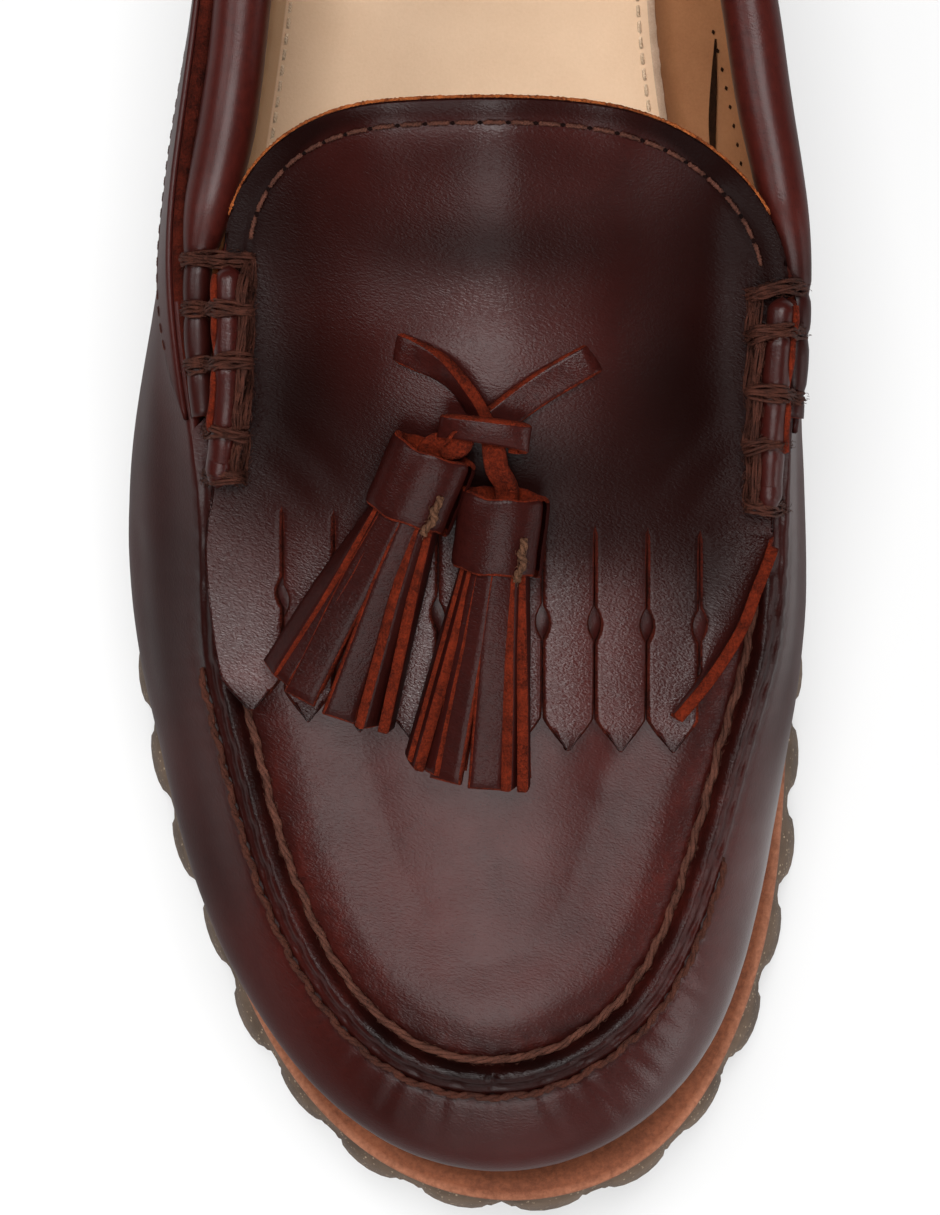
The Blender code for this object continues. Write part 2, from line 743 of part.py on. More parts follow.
def bridge_dips(heights, faces):
    """Leather spans small hollows: each height rises to its neighbours' mean."""
    for _ in range(2):
        total, near = np.zeros(len(heights)), np.zeros(len(heights))
        for face in faces:
            for k in range(len(face)):
                a, b = face[k], face[(k + 1) % len(face)]
                total[a] += heights[b]
                total[b] += heights[a]
                near[a] += 1
                near[b] += 1
        heights = np.maximum(heights, total / near)
    return heights


def make_kiltie(leather, under):
    spots, lifts, faces = kiltie_plan()
    trees = ground_of(under)
    low = np.array([(x, y, drape(trees, x, y)) for x, y in spots])
    low[:, 2] = bridge_dips(low[:, 2], faces) + lifts
    normals = surface_normals(low, faces)
    normals *= np.sign(normals[:, 2:3])
    high = low + KILTIE * normals
    points = np.vstack([high, low])
    return node("kiltie", points, shell_faces(faces, len(low)), leather)


# Beefrolls: bolsters on the kiltie's margins.
Beefroll = namedtuple("Beefroll", "name side back front inward")
BEEFROLLS = [Beefroll("beefroll_lateral", "lateral", -1.2, -12.4, 2.0),
             Beefroll("beefroll_medial", "medial", -2.8, -13.6, 2.0)]
BEEFROLL_RADIUS = 2.1
BEEFROLL_STEPS = 14
BEEFROLL_SIDES = 8


def make_beefroll(roll, leather, under):
    trees = ground_of(under)
    toward = 1.0 if roll.side == "lateral" else -1.0
    rings = []
    for k in range(BEEFROLL_STEPS + 1):
        r = k / BEEFROLL_STEPS
        y = float(along_mm(roll.back + (roll.front - roll.back) * r))
        radius = BEEFROLL_RADIUS * min(1.0, 0.55 + 4.0 * min(r, 1 - r))
        x = float(kiltie_edge(roll.side, y)) + toward * roll.inward
        z = height_at(trees, x, y, radius) + GAP + radius
        turns = [2 * math.pi * j / BEEFROLL_SIDES for j in range(BEEFROLL_SIDES)]
        rings.append([(x + radius * math.cos(t), y, z + radius * math.sin(t)) for t in turns])
    points, faces = tube(rings)
    return node(roll.name, points, faces, leather)


# Tassels: a cap and a skirt of strips, lying on the kiltie.
Tassel = namedtuple("Tassel", "name top_out top_along end_out end_along skirt")
TASSELS = [Tassel("tassel_lateral", -11.0, -10.9, -41.0, -23.4, 11.0),
           Tassel("tassel_medial", 9.5, -13.2, -0.5, -27.2, 10.2)]
TasselRing = namedtuple("TasselRing", "share wide thick groove")
CAP_HALF = 6.5
CAP_THICK = 4.4
TASSEL_RINGS = [
    TasselRing(0.0, 0.62, 0.62, 0.0),
    TasselRing(0.04, 0.94, 0.94, 0.0),
    TasselRing(0.25, 1.0, 1.0, 0.0),
    TasselRing(0.27, 0.93, 0.93, 0.25),
    TasselRing(0.45, 0.0, 0.92, 0.7),
    TasselRing(1.0, 0.0, 0.80, 1.0),
]
TASSEL_STRIPS = 11
STRIP_THICK = 1.6
# Columns of one strip: place in its pitch, and whether it lies in the slit.
StripColumn = namedtuple("StripColumn", "place slit")
STRIP_COLUMNS = [StripColumn(0.06, 0), StripColumn(0.84, 0), StripColumn(0.88, 1), StripColumn(0.02 + 1, 1)]


def tassel_rings(tassel, start, end):
    axis = end - start
    length = np.linalg.norm(axis)
    axis = axis / length
    side = np.cross(axis, [0, 0, 1.0])
    side /= np.linalg.norm(side)
    up = np.cross(side, axis)
    rings = []
    for ring in TASSEL_RINGS:
        wide = CAP_HALF * ring.wide
        if not ring.wide:
            wide = CAP_HALF + (tassel.skirt - CAP_HALF) * (ring.share - 0.27) / 0.73
        thick = CAP_THICK * ring.thick
        centre = start + axis * length * ring.share
        loop = []
        for k in range(TASSEL_STRIPS):
            for col in STRIP_COLUMNS:
                turn = 2 * math.pi * (k + col.place) / TASSEL_STRIPS
                cut = STRIP_THICK * ring.groove * col.slit
                loop.append(centre + side * (wide - cut) * math.cos(turn) + up * (thick - cut) * math.sin(turn))
        rings.append(loop)
    return rings


def clearance(trees, rings):
    """How far rings must rise to clear what lies under them, read between the rings too."""
    need = -1e9
    for one, two in zip(rings[:-1], rings[1:]):
        for share in (0.0, 0.25, 0.5, 0.75, 1.0):
            for p, q in zip(one, two):
                spot = p + (q - p) * share
                need = max(need, height_at(trees, spot[0], spot[1], 1.2) + GAP - spot[2])
    return need


def tassel_place(tassel, trees):
    """Axis ends of a tassel, moved until its lowest points just clear what it lies on."""
    spots = [(float(out_mm(tassel.top_out)), float(along_mm(tassel.top_along))),
             (float(out_mm(tassel.end_out)), float(along_mm(tassel.end_along)))]
    start, end = [np.array([x, y, height_at(trees, x, y) + CAP_THICK]) for x, y in spots]
    for _ in range(2):
        rings = tassel_rings(tassel, start, end)
        start = start + np.array([0, 0, clearance(trees, rings[:3])])
        end = end + np.array([0, 0, clearance(trees, rings[3:])])
    shift = np.array([0, 0, clearance(trees, tassel_rings(tassel, start, end))])
    return start + shift, end + shift


def make_tassel(tassel, leather, under):
    start, end = tassel_place(tassel, ground_of(under))
    points, faces = tube(tassel_rings(tassel, start, end))
    return node(tassel.name, points, faces, leather), start, end


# Lace: flat arms from the holes to the knot, and a stem to each tassel.
LACE_WIDE = 6.0
LACE_THICK = 1.6
KNOT = (13.4, 5.0, 4.6)
KNOT_OUT = 4.0
KNOT_ALONG = -9.7
KNOT_TILT = math.radians(-8)
Hole = namedtuple("Hole", "out along")
HOLES = [Hole(-22.0, -5.3), Hole(36.0, -5.8)]


def strap(points, wide, thick):
    """Flat strap through the points, level across."""
    points = [np.asarray(p, float) for p in points]
    rings = []
    for k, point in enumerate(points):
        ahead = points[min(k + 1, len(points) - 1)] - points[max(k - 1, 0)]
        side = np.cross(ahead, [0, 0, 1.0])
        side /= np.linalg.norm(side)
        up = np.cross(side, ahead)
        up /= np.linalg.norm(up)
        corners = [(-1, -1), (1, -1), (1, 1), (-1, 1)]
        rings.append([point + 0.5 * wide * a * side + 0.5 * thick * b * up for a, b in corners])
    return tube(rings)


def knot_block(centre):
    """Wrap of the knot: a pillow with rounded ends, turned a little."""
    along = np.array([math.cos(KNOT_TILT), math.sin(KNOT_TILT), 0.0])
    across = np.array([-math.sin(KNOT_TILT), math.cos(KNOT_TILT), 0.0])
    rings = []
    for share, size in [(-0.5, 0.7), (-0.42, 1.0), (0.42, 1.0), (0.5, 0.7)]:
        loop = []
        for j in range(8):
            turn = 2 * math.pi * (j + 0.5) / 8
            loop.append(centre + along * KNOT[0] * share + across * 0.54 * KNOT[1] * size * math.cos(turn)
                        + np.array([0, 0, 0.54 * KNOT[2] * size * math.sin(turn)]))
        rings.append(loop)
    return tube(rings)


def make_lace(leather, under, caps):
    trees = ground_of(under)
    x, y = float(out_mm(KNOT_OUT)), float(along_mm(KNOT_ALONG))
    knot = np.array([x, y, height_at(trees, x, y, 6.0) + GAP + 0.55 * KNOT[2] + 0.3])
    body = node("tassel_lace", *knot_block(knot), leather)
    pieces = []
    for hole in HOLES:
        hx, hy = float(out_mm(hole.out)), float(along_mm(hole.along))
        path = []
        for share in (0.0, 0.12, 0.45, 0.8, 1.0):
            px, py = hx + (x - hx) * share, hy + (y - hy) * share
            ground = height_at(trees, px, py, 0.5 * LACE_WIDE) + GAP + 0.5 * LACE_THICK + 0.3
            path.append((px, py, max(ground, knot[2]) if share == 1.0 else ground + 1.2 * share))
        pieces.append(strap(path, LACE_WIDE, LACE_THICK))
    for start, end in caps:
        axis = (end - start) / np.linalg.norm(end - start)
        tip = start - axis * GAP
        bend = start - axis * 2.5
        pieces.append(strap([knot, bend, tip], 3.0, LACE_THICK))
    for k, (points, faces) in enumerate(pieces):
        tool = node("lace_piece_%d" % k, points, faces, leather)
        tool.hide_render = True
        tool.display_type = "WIRE"
        join = body.modifiers.new("join_%d" % k, "BOOLEAN")
        join.operation = "UNION"
        join.solver = "EXACT"
        join.object = tool
    return body


def main():
    leather = material("leather_upper", (0.16, 0.05, 0.04), 0.35)
    roll_leather = material("leather_roll", (0.12, 0.04, 0.035), 0.3)
    tan = material("leather_tan", (0.55, 0.36, 0.20), 0.6)
    welt = material("leather_midsole", (0.48, 0.25, 0.14), 0.6)
    rubber = material("rubber_sole", (0.10, 0.07, 0.06), 0.8)
    make_outsole(rubber)
    make_midsole(welt)
    make_insole(tan)
    upper = make_upper(leather)
    collar = make_collar(roll_leather)
    kiltie = make_kiltie(leather, [upper, collar])
    for roll in BEEFROLLS:
        make_beefroll(roll, roll_leather, [upper, collar, kiltie])
    caps = []
    for tassel in TASSELS:
        _, start, end = make_tassel(tassel, leather, [upper, kiltie])
        caps.append((start, end))
    make_lace(leather, [upper, kiltie], caps)


for old in list(bpy.data.objects):
    bpy.data.objects.remove(old, do_unlink=True)
ROOT = bpy.data.objects.new("loafer", None)
bpy.context.scene.collection.objects.link(ROOT)
main()
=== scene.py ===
"""Looks of a kiltie tassel loafer for the right foot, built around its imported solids.

Worked in millimetres, in the solids' own frame: the toe points along -Y, the inner (medial) side
is +X and Z is up.
"""

import math
from collections import namedtuple

import bpy
import numpy as np
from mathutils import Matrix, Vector
from mathutils.bvhtree import BVHTree


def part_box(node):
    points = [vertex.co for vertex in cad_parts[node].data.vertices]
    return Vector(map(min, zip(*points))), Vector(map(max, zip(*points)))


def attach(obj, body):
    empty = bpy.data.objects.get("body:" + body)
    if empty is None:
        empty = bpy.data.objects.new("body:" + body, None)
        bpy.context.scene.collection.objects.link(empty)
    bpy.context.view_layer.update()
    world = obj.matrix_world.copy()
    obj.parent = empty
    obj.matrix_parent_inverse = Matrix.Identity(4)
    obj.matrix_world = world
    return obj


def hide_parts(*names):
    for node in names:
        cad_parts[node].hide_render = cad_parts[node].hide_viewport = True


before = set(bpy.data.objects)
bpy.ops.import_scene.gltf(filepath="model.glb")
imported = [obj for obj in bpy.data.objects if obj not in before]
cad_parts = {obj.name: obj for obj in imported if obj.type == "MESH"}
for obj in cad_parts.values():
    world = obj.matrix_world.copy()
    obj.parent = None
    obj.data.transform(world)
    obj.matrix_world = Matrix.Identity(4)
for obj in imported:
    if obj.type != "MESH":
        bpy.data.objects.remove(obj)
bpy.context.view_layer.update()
MM = 0.001
UP = np.array([0.0, 0.0, 1.0])
OUTWARD = {"lateral": -1.0, "medial": 1.0}


def table(fields, rows):
    """Rows of values with a name for each column."""
    row_kind = namedtuple("Row", fields)
    return [row_kind(*row) for row in rows]


# Sizes shared with the solids
LENGTH = 298.0
BALL_WIDTH = 106.0
INSTEP_HEIGHT = 86.0
WALL = 2.2
GAP = 0.3
MIDSOLE = 4.5
INSOLE = 2.5
WELT = 6.0
LUG_DEPTH = 5.0
LUG_FLARE = 2.6
LUGS_PER_SIDE = 24
HEEL_BREAST = 20.0
RIDGE_WIDTH = 5.4

# Sections from heel to toe: along is a percentage of the length, out a percentage of half the ball
# width (lateral negative), up a percentage of the instep height. The bulge is the widest line of
# the wall, the top is the collar line behind and the apron seam in front, the sole is the midsole edge.
SECTIONS = table("name bulge_along bulge_lat bulge_med top_along top_lat top_med top_up "
                 "sole_along sole_lat sole_med", [
    ("heel back", 49.0, 4, 4, 46.5, 4, 4, 93, 49.3, 4, 4),
    ("heel round", 46.3, -41.5, 47, 44.1, -36, 42.5, 90.5, 46.6, -43.5, 49),
    ("heel", 38.6, -67, 70, 37.2, -58.5, 62, 81.5, 38.3, -70, 72.5),
    ("heel breast", 28.2, -71.5, 74.5, 28.2, -67, 71, 73, 27.5, -70, 71.5),
    ("waist", 16.8, -76.5, 81, 16.8, -74, 81.5, 69, 16, -72, 68),
    ("quarter", 5.7, -86, 90, 6.0, -82, 90.5, 70, 5.7, -80, 74.5),
    ("roll back", -2.3, -92.5, 95.5, -1.7, -85, 94.5, 71.5, -2.3, -87.5, 84),
    ("roll", -9.3, -99, 97.5, -9.5, -80, 92, 69.5, -9.3, -93, 90.5),
    ("roll front", -13.8, -100.5, 98.5, -14.0, -76.5, 89.5, 66.5, -13.8, -95.5, 93.5),
    ("ball", -19.5, -98.5, 98.5, -19.5, -73.5, 85.5, 63, -19.5, -96, 95.5),
    ("tread", -26.8, -90, 93, -26.2, -65.5, 76, 58.5, -26.8, -91, 94.5),
    ("toe spring", -34.9, -76, 84, -33.2, -54, 65, 54.5, -34.2, -77.5, 90.5),
    ("toe", -41.6, -55, 70, -38.9, -36, 49, 52, -41.3, -60, 78.5),
    ("toe round", -46.1, -27.5, 44.5, -41.9, -15.5, 27, 51, -47.3, -30, 54),
    ("toe tip", -47.9, 9.5, 9.5, -42.7, 6.5, 6.5, 51, -49.7, 9.5, 9.5),
])
ROLL_SECTION = 7

# Heights along the sole: the seat is the top of the midsole, the tread the underside of the lugs.
PROFILES = table("along seat tread", [
    (-52.0, 28.4, 14.4),
    (-43.5, 21.4, 7.3),
    (-37.0, 17.4, 3.4),
    (-30.0, 15.1, 0.9),
    (-26.0, 14.3, 0.0),
    (-19.5, 14.0, 0.0),
    (-5.0, 14.3, 0.0),
    (6.0, 16.2, 2.4),
    (17.0, 20.5, 7.0),
    (20.5, 22.3, 8.8),
    (28.0, 26.0, 12.0),
    (38.0, 28.6, 14.0),
    (52.0, 29.8, 15.0),
])

# The crown line of the apron and tongue, with the seam station whose column ends there.
CROWNS = table("seam_along along out up", [
    (-42.7, -36.0, 8.0, 57.0),
    (-38.9, -34.6, 8.0, 58.0),
    (-33.2, -31.0, 8.0, 60.5),
    (-19.5, -19.3, 8.0, 70.5),
    (-13.1, -6.0, 7.0, 83.0),
    (-9.5, 5.4, 6.0, 95.5),
])
TONGUE_CORNER = 0.8
SHELF = 1.2


def along_mm(percent):
    return np.asarray(percent, float) * LENGTH / 100.0


def out_mm(percent):
    return np.asarray(percent, float) * BALL_WIDTH / 200.0


def up_mm(percent):
    return np.asarray(percent, float) * INSTEP_HEIGHT / 100.0


def plan_spot(out, along):
    return np.array([out_mm(out), along_mm(along)], float)


def column(rows, name):
    return np.array([getattr(row, name) for row in rows], float)


# Curves

def smooth(xs, ys, at):
    """Monotone cubic through the points, flat past both ends."""
    xs = np.asarray(xs, float)
    ys = np.asarray(ys, float)
    order = np.argsort(xs)
    xs, ys = xs[order], ys[order]
    step = np.diff(xs)
    slope = np.diff(ys) / step
    tangent = np.zeros(len(xs))
    for k in range(1, len(xs) - 1):
        if slope[k - 1] * slope[k] > 0:
            tangent[k] = 2 * slope[k - 1] * slope[k] / (slope[k - 1] + slope[k])
    tangent[0], tangent[-1] = slope[0], slope[-1]
    at = np.clip(np.asarray(at, float), xs[0], xs[-1])
    k = np.clip(np.searchsorted(xs, at, side="right") - 1, 0, len(step) - 1)
    t = (at - xs[k]) / step[k]
    h = step[k]
    return (ys[k] * (1 + 2 * t) * (1 - t) ** 2 + tangent[k] * h * t * (1 - t) ** 2
            + ys[k + 1] * t * t * (3 - 2 * t) + tangent[k + 1] * h * t * t * (t - 1))


def closed_spline(knots, values, period, at):
    """Periodic cubic through the rows of values."""
    count = len(knots)
    step = np.diff(np.append(knots, period))
    matrix = np.zeros((count, count))
    right = np.zeros_like(values)
    for k in range(count):
        before, after = (k - 1) % count, (k + 1) % count
        h0, h1 = step[before], step[k]
        matrix[k, before] += h0
        matrix[k, k] += 2 * (h0 + h1)
        matrix[k, after] += h1
        right[k] = 6 * ((values[after] - values[k]) / h1 - (values[k] - values[before]) / h0)
    bend = np.linalg.solve(matrix, right)
    at = np.asarray(at, float) % period
    k = np.clip(np.searchsorted(knots, at, side="right") - 1, 0, count - 1)
    after = (k + 1) % count
    h = step[k][:, None]
    a = (at - knots[k])[:, None]
    b = h - a
    return (bend[k] * b ** 3 + bend[after] * a ** 3) / (6 * h) \
        + (values[k] / h - bend[k] * h / 6) * b + (values[after] / h - bend[after] * h / 6) * a


def curve_through(points, count):
    """Even points on a smooth curve through the given ones, in any number of dimensions."""
    points = np.asarray(points, float)
    padded = np.vstack([2 * points[0] - points[1], points, 2 * points[-1] - points[-2]])
    dense = []
    for k in range(1, len(padded) - 2):
        a, b, c, d = padded[k - 1:k + 3]
        t = np.linspace(0, 1, 24, endpoint=False)[:, None]
        dense.append(0.5 * (2 * b + (c - a) * t + (2 * a - 5 * b + 4 * c - d) * t ** 2
                            + (3 * b - a - 3 * c + d) * t ** 3))
    dense = np.vstack(dense + [points[-1:]])
    return even_points(dense, count)


def lengths_of(path):
    return np.append(0.0, np.cumsum(np.linalg.norm(np.diff(path, axis=0), axis=1)))


def sample(at, travel, rows):
    """Every column of rows, read at those distances along its path."""
    return np.stack([np.interp(at, travel, rows[:, k]) for k in range(rows.shape[1])], axis=1)


def even_points(path, count):
    travel = lengths_of(path)
    return sample(np.linspace(0, travel[-1], count), travel, path)


def unit(vectors):
    """One vector, or rows of them, brought to length 1."""
    return vectors / np.maximum(np.linalg.norm(vectors, axis=-1, keepdims=True), 1e-9)


def ease(value, start, stop):
    """Soft step from 0 at start to 1 at stop."""
    t = np.clip((np.asarray(value, float) - start) / (stop - start), 0, 1)
    return t * t * (3 - 2 * t)


def bell(value, middle, width, power=2):
    """Soft bump of height 1 round the middle."""
    return np.exp(-((value - middle) / width) ** power)


def soften(heights, weights):
    """Running mean with those weights, its ends held level."""
    return np.convolve(np.pad(heights, len(weights) // 2, mode="edge"), weights, mode="valid")


def ring_of(prefix, with_height=False):
    """Lateral side from heel to toe, then medial side back to the heel."""
    y = along_mm(column(SECTIONS, prefix + "_along"))
    lat = out_mm(column(SECTIONS, prefix + "_lat"))
    med = out_mm(column(SECTIONS, prefix + "_med"))
    ring = [np.append(lat, med[-2:0:-1]), np.append(y, y[-2:0:-1])]
    if with_height:
        z = up_mm(column(SECTIONS, prefix + "_up"))
        ring.append(np.append(z, z[-2:0:-1]))
    return np.stack(ring, axis=1)


def knots_of(ring):
    legs = np.linalg.norm(np.diff(np.vstack([ring, ring[:1]])[:, :2], axis=0), axis=1)
    return np.append(0.0, np.cumsum(legs[:-1])), legs.sum()


def half_shares(knots, period, back, front):
    """Column positions round the shoe, with columns at the heel, the rolls and the toe."""
    toe = len(SECTIONS) - 1
    stops = [knots[0], knots[ROLL_SECTION], knots[toe], knots[2 * toe - ROLL_SECTION], period]
    counts = [back, front, front, back]
    parts = [np.linspace(stops[k], stops[k + 1], counts[k], endpoint=False) for k in range(4)]
    return np.concatenate(parts)


def plan_normals(points):
    """Outward direction in plan of a closed loop that runs heel, lateral, toe, medial."""
    tangent = np.roll(points[:, :2], -1, axis=0) - np.roll(points[:, :2], 1, axis=0)
    return unit(np.stack([tangent[:, 1], -tangent[:, 0]], axis=1))


def seat(y):
    return smooth(along_mm(column(PROFILES, "along")), column(PROFILES, "seat"), y)


def tread(y):
    arch = smooth(along_mm(column(PROFILES, "along")), column(PROFILES, "tread"), y)
    return np.where(np.asarray(y) > along_mm(HEEL_BREAST), 0.0, arch)


# Meshes

Mesh = namedtuple("Mesh", "points faces kinds")


def piece(name, mesh, finishes, replaces=(), marks=None):
    """A shown piece from points in millimetres; kinds gives each face's finish."""
    data = bpy.data.meshes.new(name)
    data.from_pydata((np.asarray(mesh.points) * MM).tolist(), [], [tuple(f) for f in mesh.faces])
    for finish in finishes:
        data.materials.append(finish)
    if mesh.kinds is not None:
        data.polygons.foreach_set("material_index", np.asarray(mesh.kinds, np.int32))
    for mark, values in (marks or {}).items():
        layer = data.attributes.new(mark, "FLOAT", "POINT")
        spread = np.broadcast_to(np.asarray(values, np.float32), (len(data.vertices),))
        layer.data.foreach_set("value", np.ascontiguousarray(spread))
    data.shade_smooth()
    data.update()
    made = bpy.data.objects.new(name, data)
    bpy.context.scene.collection.objects.link(made)
    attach(made, "root")
    if replaces:
        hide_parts(*replaces)
    return made


def join(meshes):
    """Several meshes as one, keeping the face kinds."""
    points, faces, kinds, start = [], [], [], 0
    for mesh in meshes:
        points.append(np.asarray(mesh.points, float).reshape(-1, 3))
        faces += [tuple(np.asarray(f) + start) for f in mesh.faces]
        kinds += list(mesh.kinds) if mesh.kinds is not None else [0] * len(mesh.faces)
        start += len(points[-1])
    return Mesh(np.vstack(points), faces, kinds)


def grid_faces(rows, cols, wrap=False):
    """Quads between neighbouring rows and columns of a grid of points."""
    r = np.arange(rows - 1)[:, None] * cols
    c = np.arange(cols if wrap else cols - 1)[None, :]
    a = r + c
    b = r + (c + 1) % cols
    return np.stack([a, b, b + cols, a + cols], axis=-1).reshape(-1, 4)


def tuples(faces):
    return [tuple(face) for face in np.asarray(faces).tolist()]


def normals_of(points, faces):
    """Point normals from quads."""
    faces = np.asarray(faces)
    a, b, c, d = [points[faces[:, k]] for k in range(4)]
    across = np.cross(c - a, d - b)
    normals = np.zeros_like(points)
    for k in range(4):
        for axis in range(3):
            normals[:, axis] += np.bincount(faces[:, k], across[:, axis], len(points))
    return unit(normals)


def facing_up(points, faces):
    """The same quads, turned over if they face down."""
    return faces[:, ::-1] if normals_of(points, faces)[:, 2].mean() < 0 else faces


def frames_along(path, up):
    """Unit forward, side and up vectors along a path; up is one vector or one for each point."""
    forward = unit(np.gradient(path, axis=0))
    side = unit(np.cross(forward, np.broadcast_to(np.asarray(up, float), path.shape)))
    return forward, side, np.cross(side, forward)


TUBE_TIP = 0.05


def tube(path, radius, up=UP, sides=10, flat=1.0):
    """Round or flattened tube along a path, its ends drawn in to a point."""
    path = np.asarray(path, float)
    radius = np.broadcast_to(np.asarray(radius, float), (len(path),))
    forward, side, top = frames_along(path, up)
    first = path[0] - forward[0] * radius[0] * 0.5
    last = path[-1] + forward[-1] * radius[-1] * 0.5
    path = np.vstack([first, path, last])
    radius = np.concatenate([[radius[0] * TUBE_TIP], radius, [radius[-1] * TUBE_TIP]])
    side = np.vstack([side[:1], side, side[-1:]])
    top = np.vstack([top[:1], top, top[-1:]])
    turn = 2 * math.pi * np.arange(sides) / sides
    ring = np.cos(turn)[None, :, None] * side[:, None] + flat * np.sin(turn)[None, :, None] * top[:, None]
    points = path[:, None] + radius[:, None, None] * ring
    faces = tuples(grid_faces(len(path), sides, wrap=True))
    end = (len(path) - 1) * sides
    faces.append(tuple(range(sides - 1, -1, -1)))
    faces.append(tuple(range(end, end + sides)))
    return Mesh(points.reshape(-1, 3), faces, None)


PLY_SPREAD = 0.55
PLY_RADIUS = 0.739


def strands(path, up, radius, twist, plies=2, sides=6):
    """A twisted thread: plies wound round a path, one turn in each length of twist."""
    _, side, top = frames_along(path, up)
    travel = lengths_of(path)
    meshes = []
    for k in range(plies):
        turn = (2 * math.pi * (travel / twist + k / plies))[:, None]
        line = path + radius * PLY_SPREAD * (np.cos(turn) * side + np.sin(turn) * top)
        meshes.append(tube(line, radius * PLY_RADIUS, up, sides))
    return join(meshes)


FLAT_SIDES = 5
HAIRS_A_MM = 7


def flat_thread(path, up, wide, plies, seed):
    """A waxed thread pressed flat: thin plies that wander across each other, with loose hairs."""
    _, side, top = frames_along(path, up)
    travel = lengths_of(path)
    shake = np.random.default_rng(seed)
    meshes = []
    for k in range(plies):
        wander = np.sin(travel / shake.uniform(1.0, 2.6) + shake.uniform(0, 6))
        heave = np.sin(travel / shake.uniform(0.9, 2.2) + shake.uniform(0, 6))
        place = 2 * (k + 0.5) / plies - 1
        aside = wide * (0.45 * place + 0.13 * wander)
        lift = wide * (0.16 * (1 - place ** 2) + 0.07 * heave)
        line = path + aside[:, None] * side + lift[:, None] * top
        meshes.append(tube(line, 0.85 * wide / plies, up, FLAT_SIDES))
    meshes.append(hairs(path, up, 0.5 * wide, int(HAIRS_A_MM * travel[-1]), seed))
    return join(meshes)


HAIR_RADIUS = 0.045
HAIR_LENGTHS = (0.5, 1.3)
HAIR_LIFTS = (0.1, 0.5)
HAIR_ROOT = np.array([0.85, 0.85, 0.6])
HAIR_SEED = 500


def hairs(path, up, reach, count, seed):
    """Short fibres that stand off a thread."""
    forward, side, top = frames_along(path, up)
    shake = np.random.default_rng(seed + HAIR_SEED)
    meshes = []
    for k in shake.integers(1, len(path) - 1, count):
        turn = shake.uniform(-0.3, math.pi + 0.3)
        out = side[k] * math.cos(turn) + top[k] * math.sin(turn)
        root = path[k] + out * reach * HAIR_ROOT
        lie = forward[k] * shake.choice([-1.0, 1.0]) + 0.5 * side[k] * shake.uniform(-1, 1)
        length = shake.uniform(*HAIR_LENGTHS)
        lift = out * shake.uniform(*HAIR_LIFTS)
        line = [root, root + lie * 0.5 * length + lift * 0.7, root + lie * length + lift * 0.5]
        meshes.append(tube(np.array(line), HAIR_RADIUS, top[k], 3))
    return join(meshes)


def rim_of(faces):
    """Edges that belong to one face only, each with that face."""
    edges = {}
    for face in faces:
        for a, b in zip(face, face[1:] + face[:1]):
            edges[(a, b)] = face
    return {edge: face for edge, face in edges.items() if edge[::-1] not in edges}


def rim_inward(points, rim):
    """Unit directions from the rim's points into the sheet."""
    inward = np.zeros_like(points)
    for (a, b), face in rim.items():
        along = unit(points[b] - points[a])
        into = points[face].mean(axis=0) - points[a]
        into = unit(into - along * into.dot(along))
        inward[a] += into
        inward[b] += into
    return unit(inward)


def leaf(points, faces, thick, bevel=0.25, raw_bevel=False):
    """A sheet with a bevelled top edge, raw sides and an underside; kinds are 0 top, 1 raw, 2 under."""
    points = np.asarray(points, float)
    faces = np.asarray(faces).tolist()
    count = len(points)
    normals = normals_of(points, faces)
    rim = rim_of(faces)
    picked = np.array(sorted({k for edge in rim for k in edge}))
    place = {k: j for j, k in enumerate(picked.tolist())}
    push = rim_inward(points, rim)[picked]
    worn = np.broadcast_to(np.asarray(bevel, float), (count,))[picked][:, None]
    top = points.copy()
    top[picked] += push * worn
    upper = points[picked] - normals[picked] * worn
    lower = points[picked] - normals[picked] * (thick - 0.5 * worn)
    under = points - normals * thick
    under[picked] += push * 0.5 * worn
    first, second, third = count, count + len(picked), count + 2 * len(picked)
    made = tuples(faces)
    kinds = [0] * len(made)
    for a, b in rim:
        i, j = place[a], place[b]
        made.append((b, a, first + i, first + j))
        made.append((first + j, first + i, second + i, second + j))
        made.append((second + j, second + i, third + a, third + b))
        kinds += [1 if raw_bevel else 0, 1, 1]
    made += [tuple(third + k for k in reversed(face)) for face in faces]
    kinds += [2] * len(faces)
    return Mesh(np.vstack([top, upper, lower, under]), made, kinds)


def ribbon(path, up, wide, thick, across=5, crown=0.0, bevel=0.4):
    """A cut strip along a path: raw edges, its face slightly crowned."""
    _, side, top = frames_along(path, up)
    wide = np.broadcast_to(np.asarray(wide, float), (len(path),))
    share = np.linspace(-0.5, 0.5, across)
    points = path[:, None] + side[:, None] * (wide[:, None] * share)[:, :, None]
    points = points + top[:, None] * (crown * (1 - 4 * share ** 2))[None, :, None]
    faces = grid_faces(len(path), across)
    return leaf(points.reshape(-1, 3), faces, thick, bevel, True)


STITCH_POINTS = 9


def stitches(path, ups, pitch, length, radius, bow=None, twist=3.4):
    """Single stitches along a path, their ends sunk; bow moves each one's middle sideways."""
    ups = np.broadcast_to(ups, path.shape)
    travel = lengths_of(path)
    share = np.linspace(-1, 1, STITCH_POINTS)
    sunk = radius * (0.75 - 1.9 * share ** 6)
    meshes = []
    for middle in np.arange(0.5 * pitch, travel[-1] - 0.4 * pitch, pitch):
        at = middle + 0.5 * length * share
        up = sample(at, travel, ups)
        line = sample(at, travel, path) + up * sunk[:, None]
        if bow is not None:
            line += sample(at, travel, bow) * (1 - share ** 2)[:, None]
        meshes.append(strands(line, up, radius, twist * radius))
    return join(meshes)


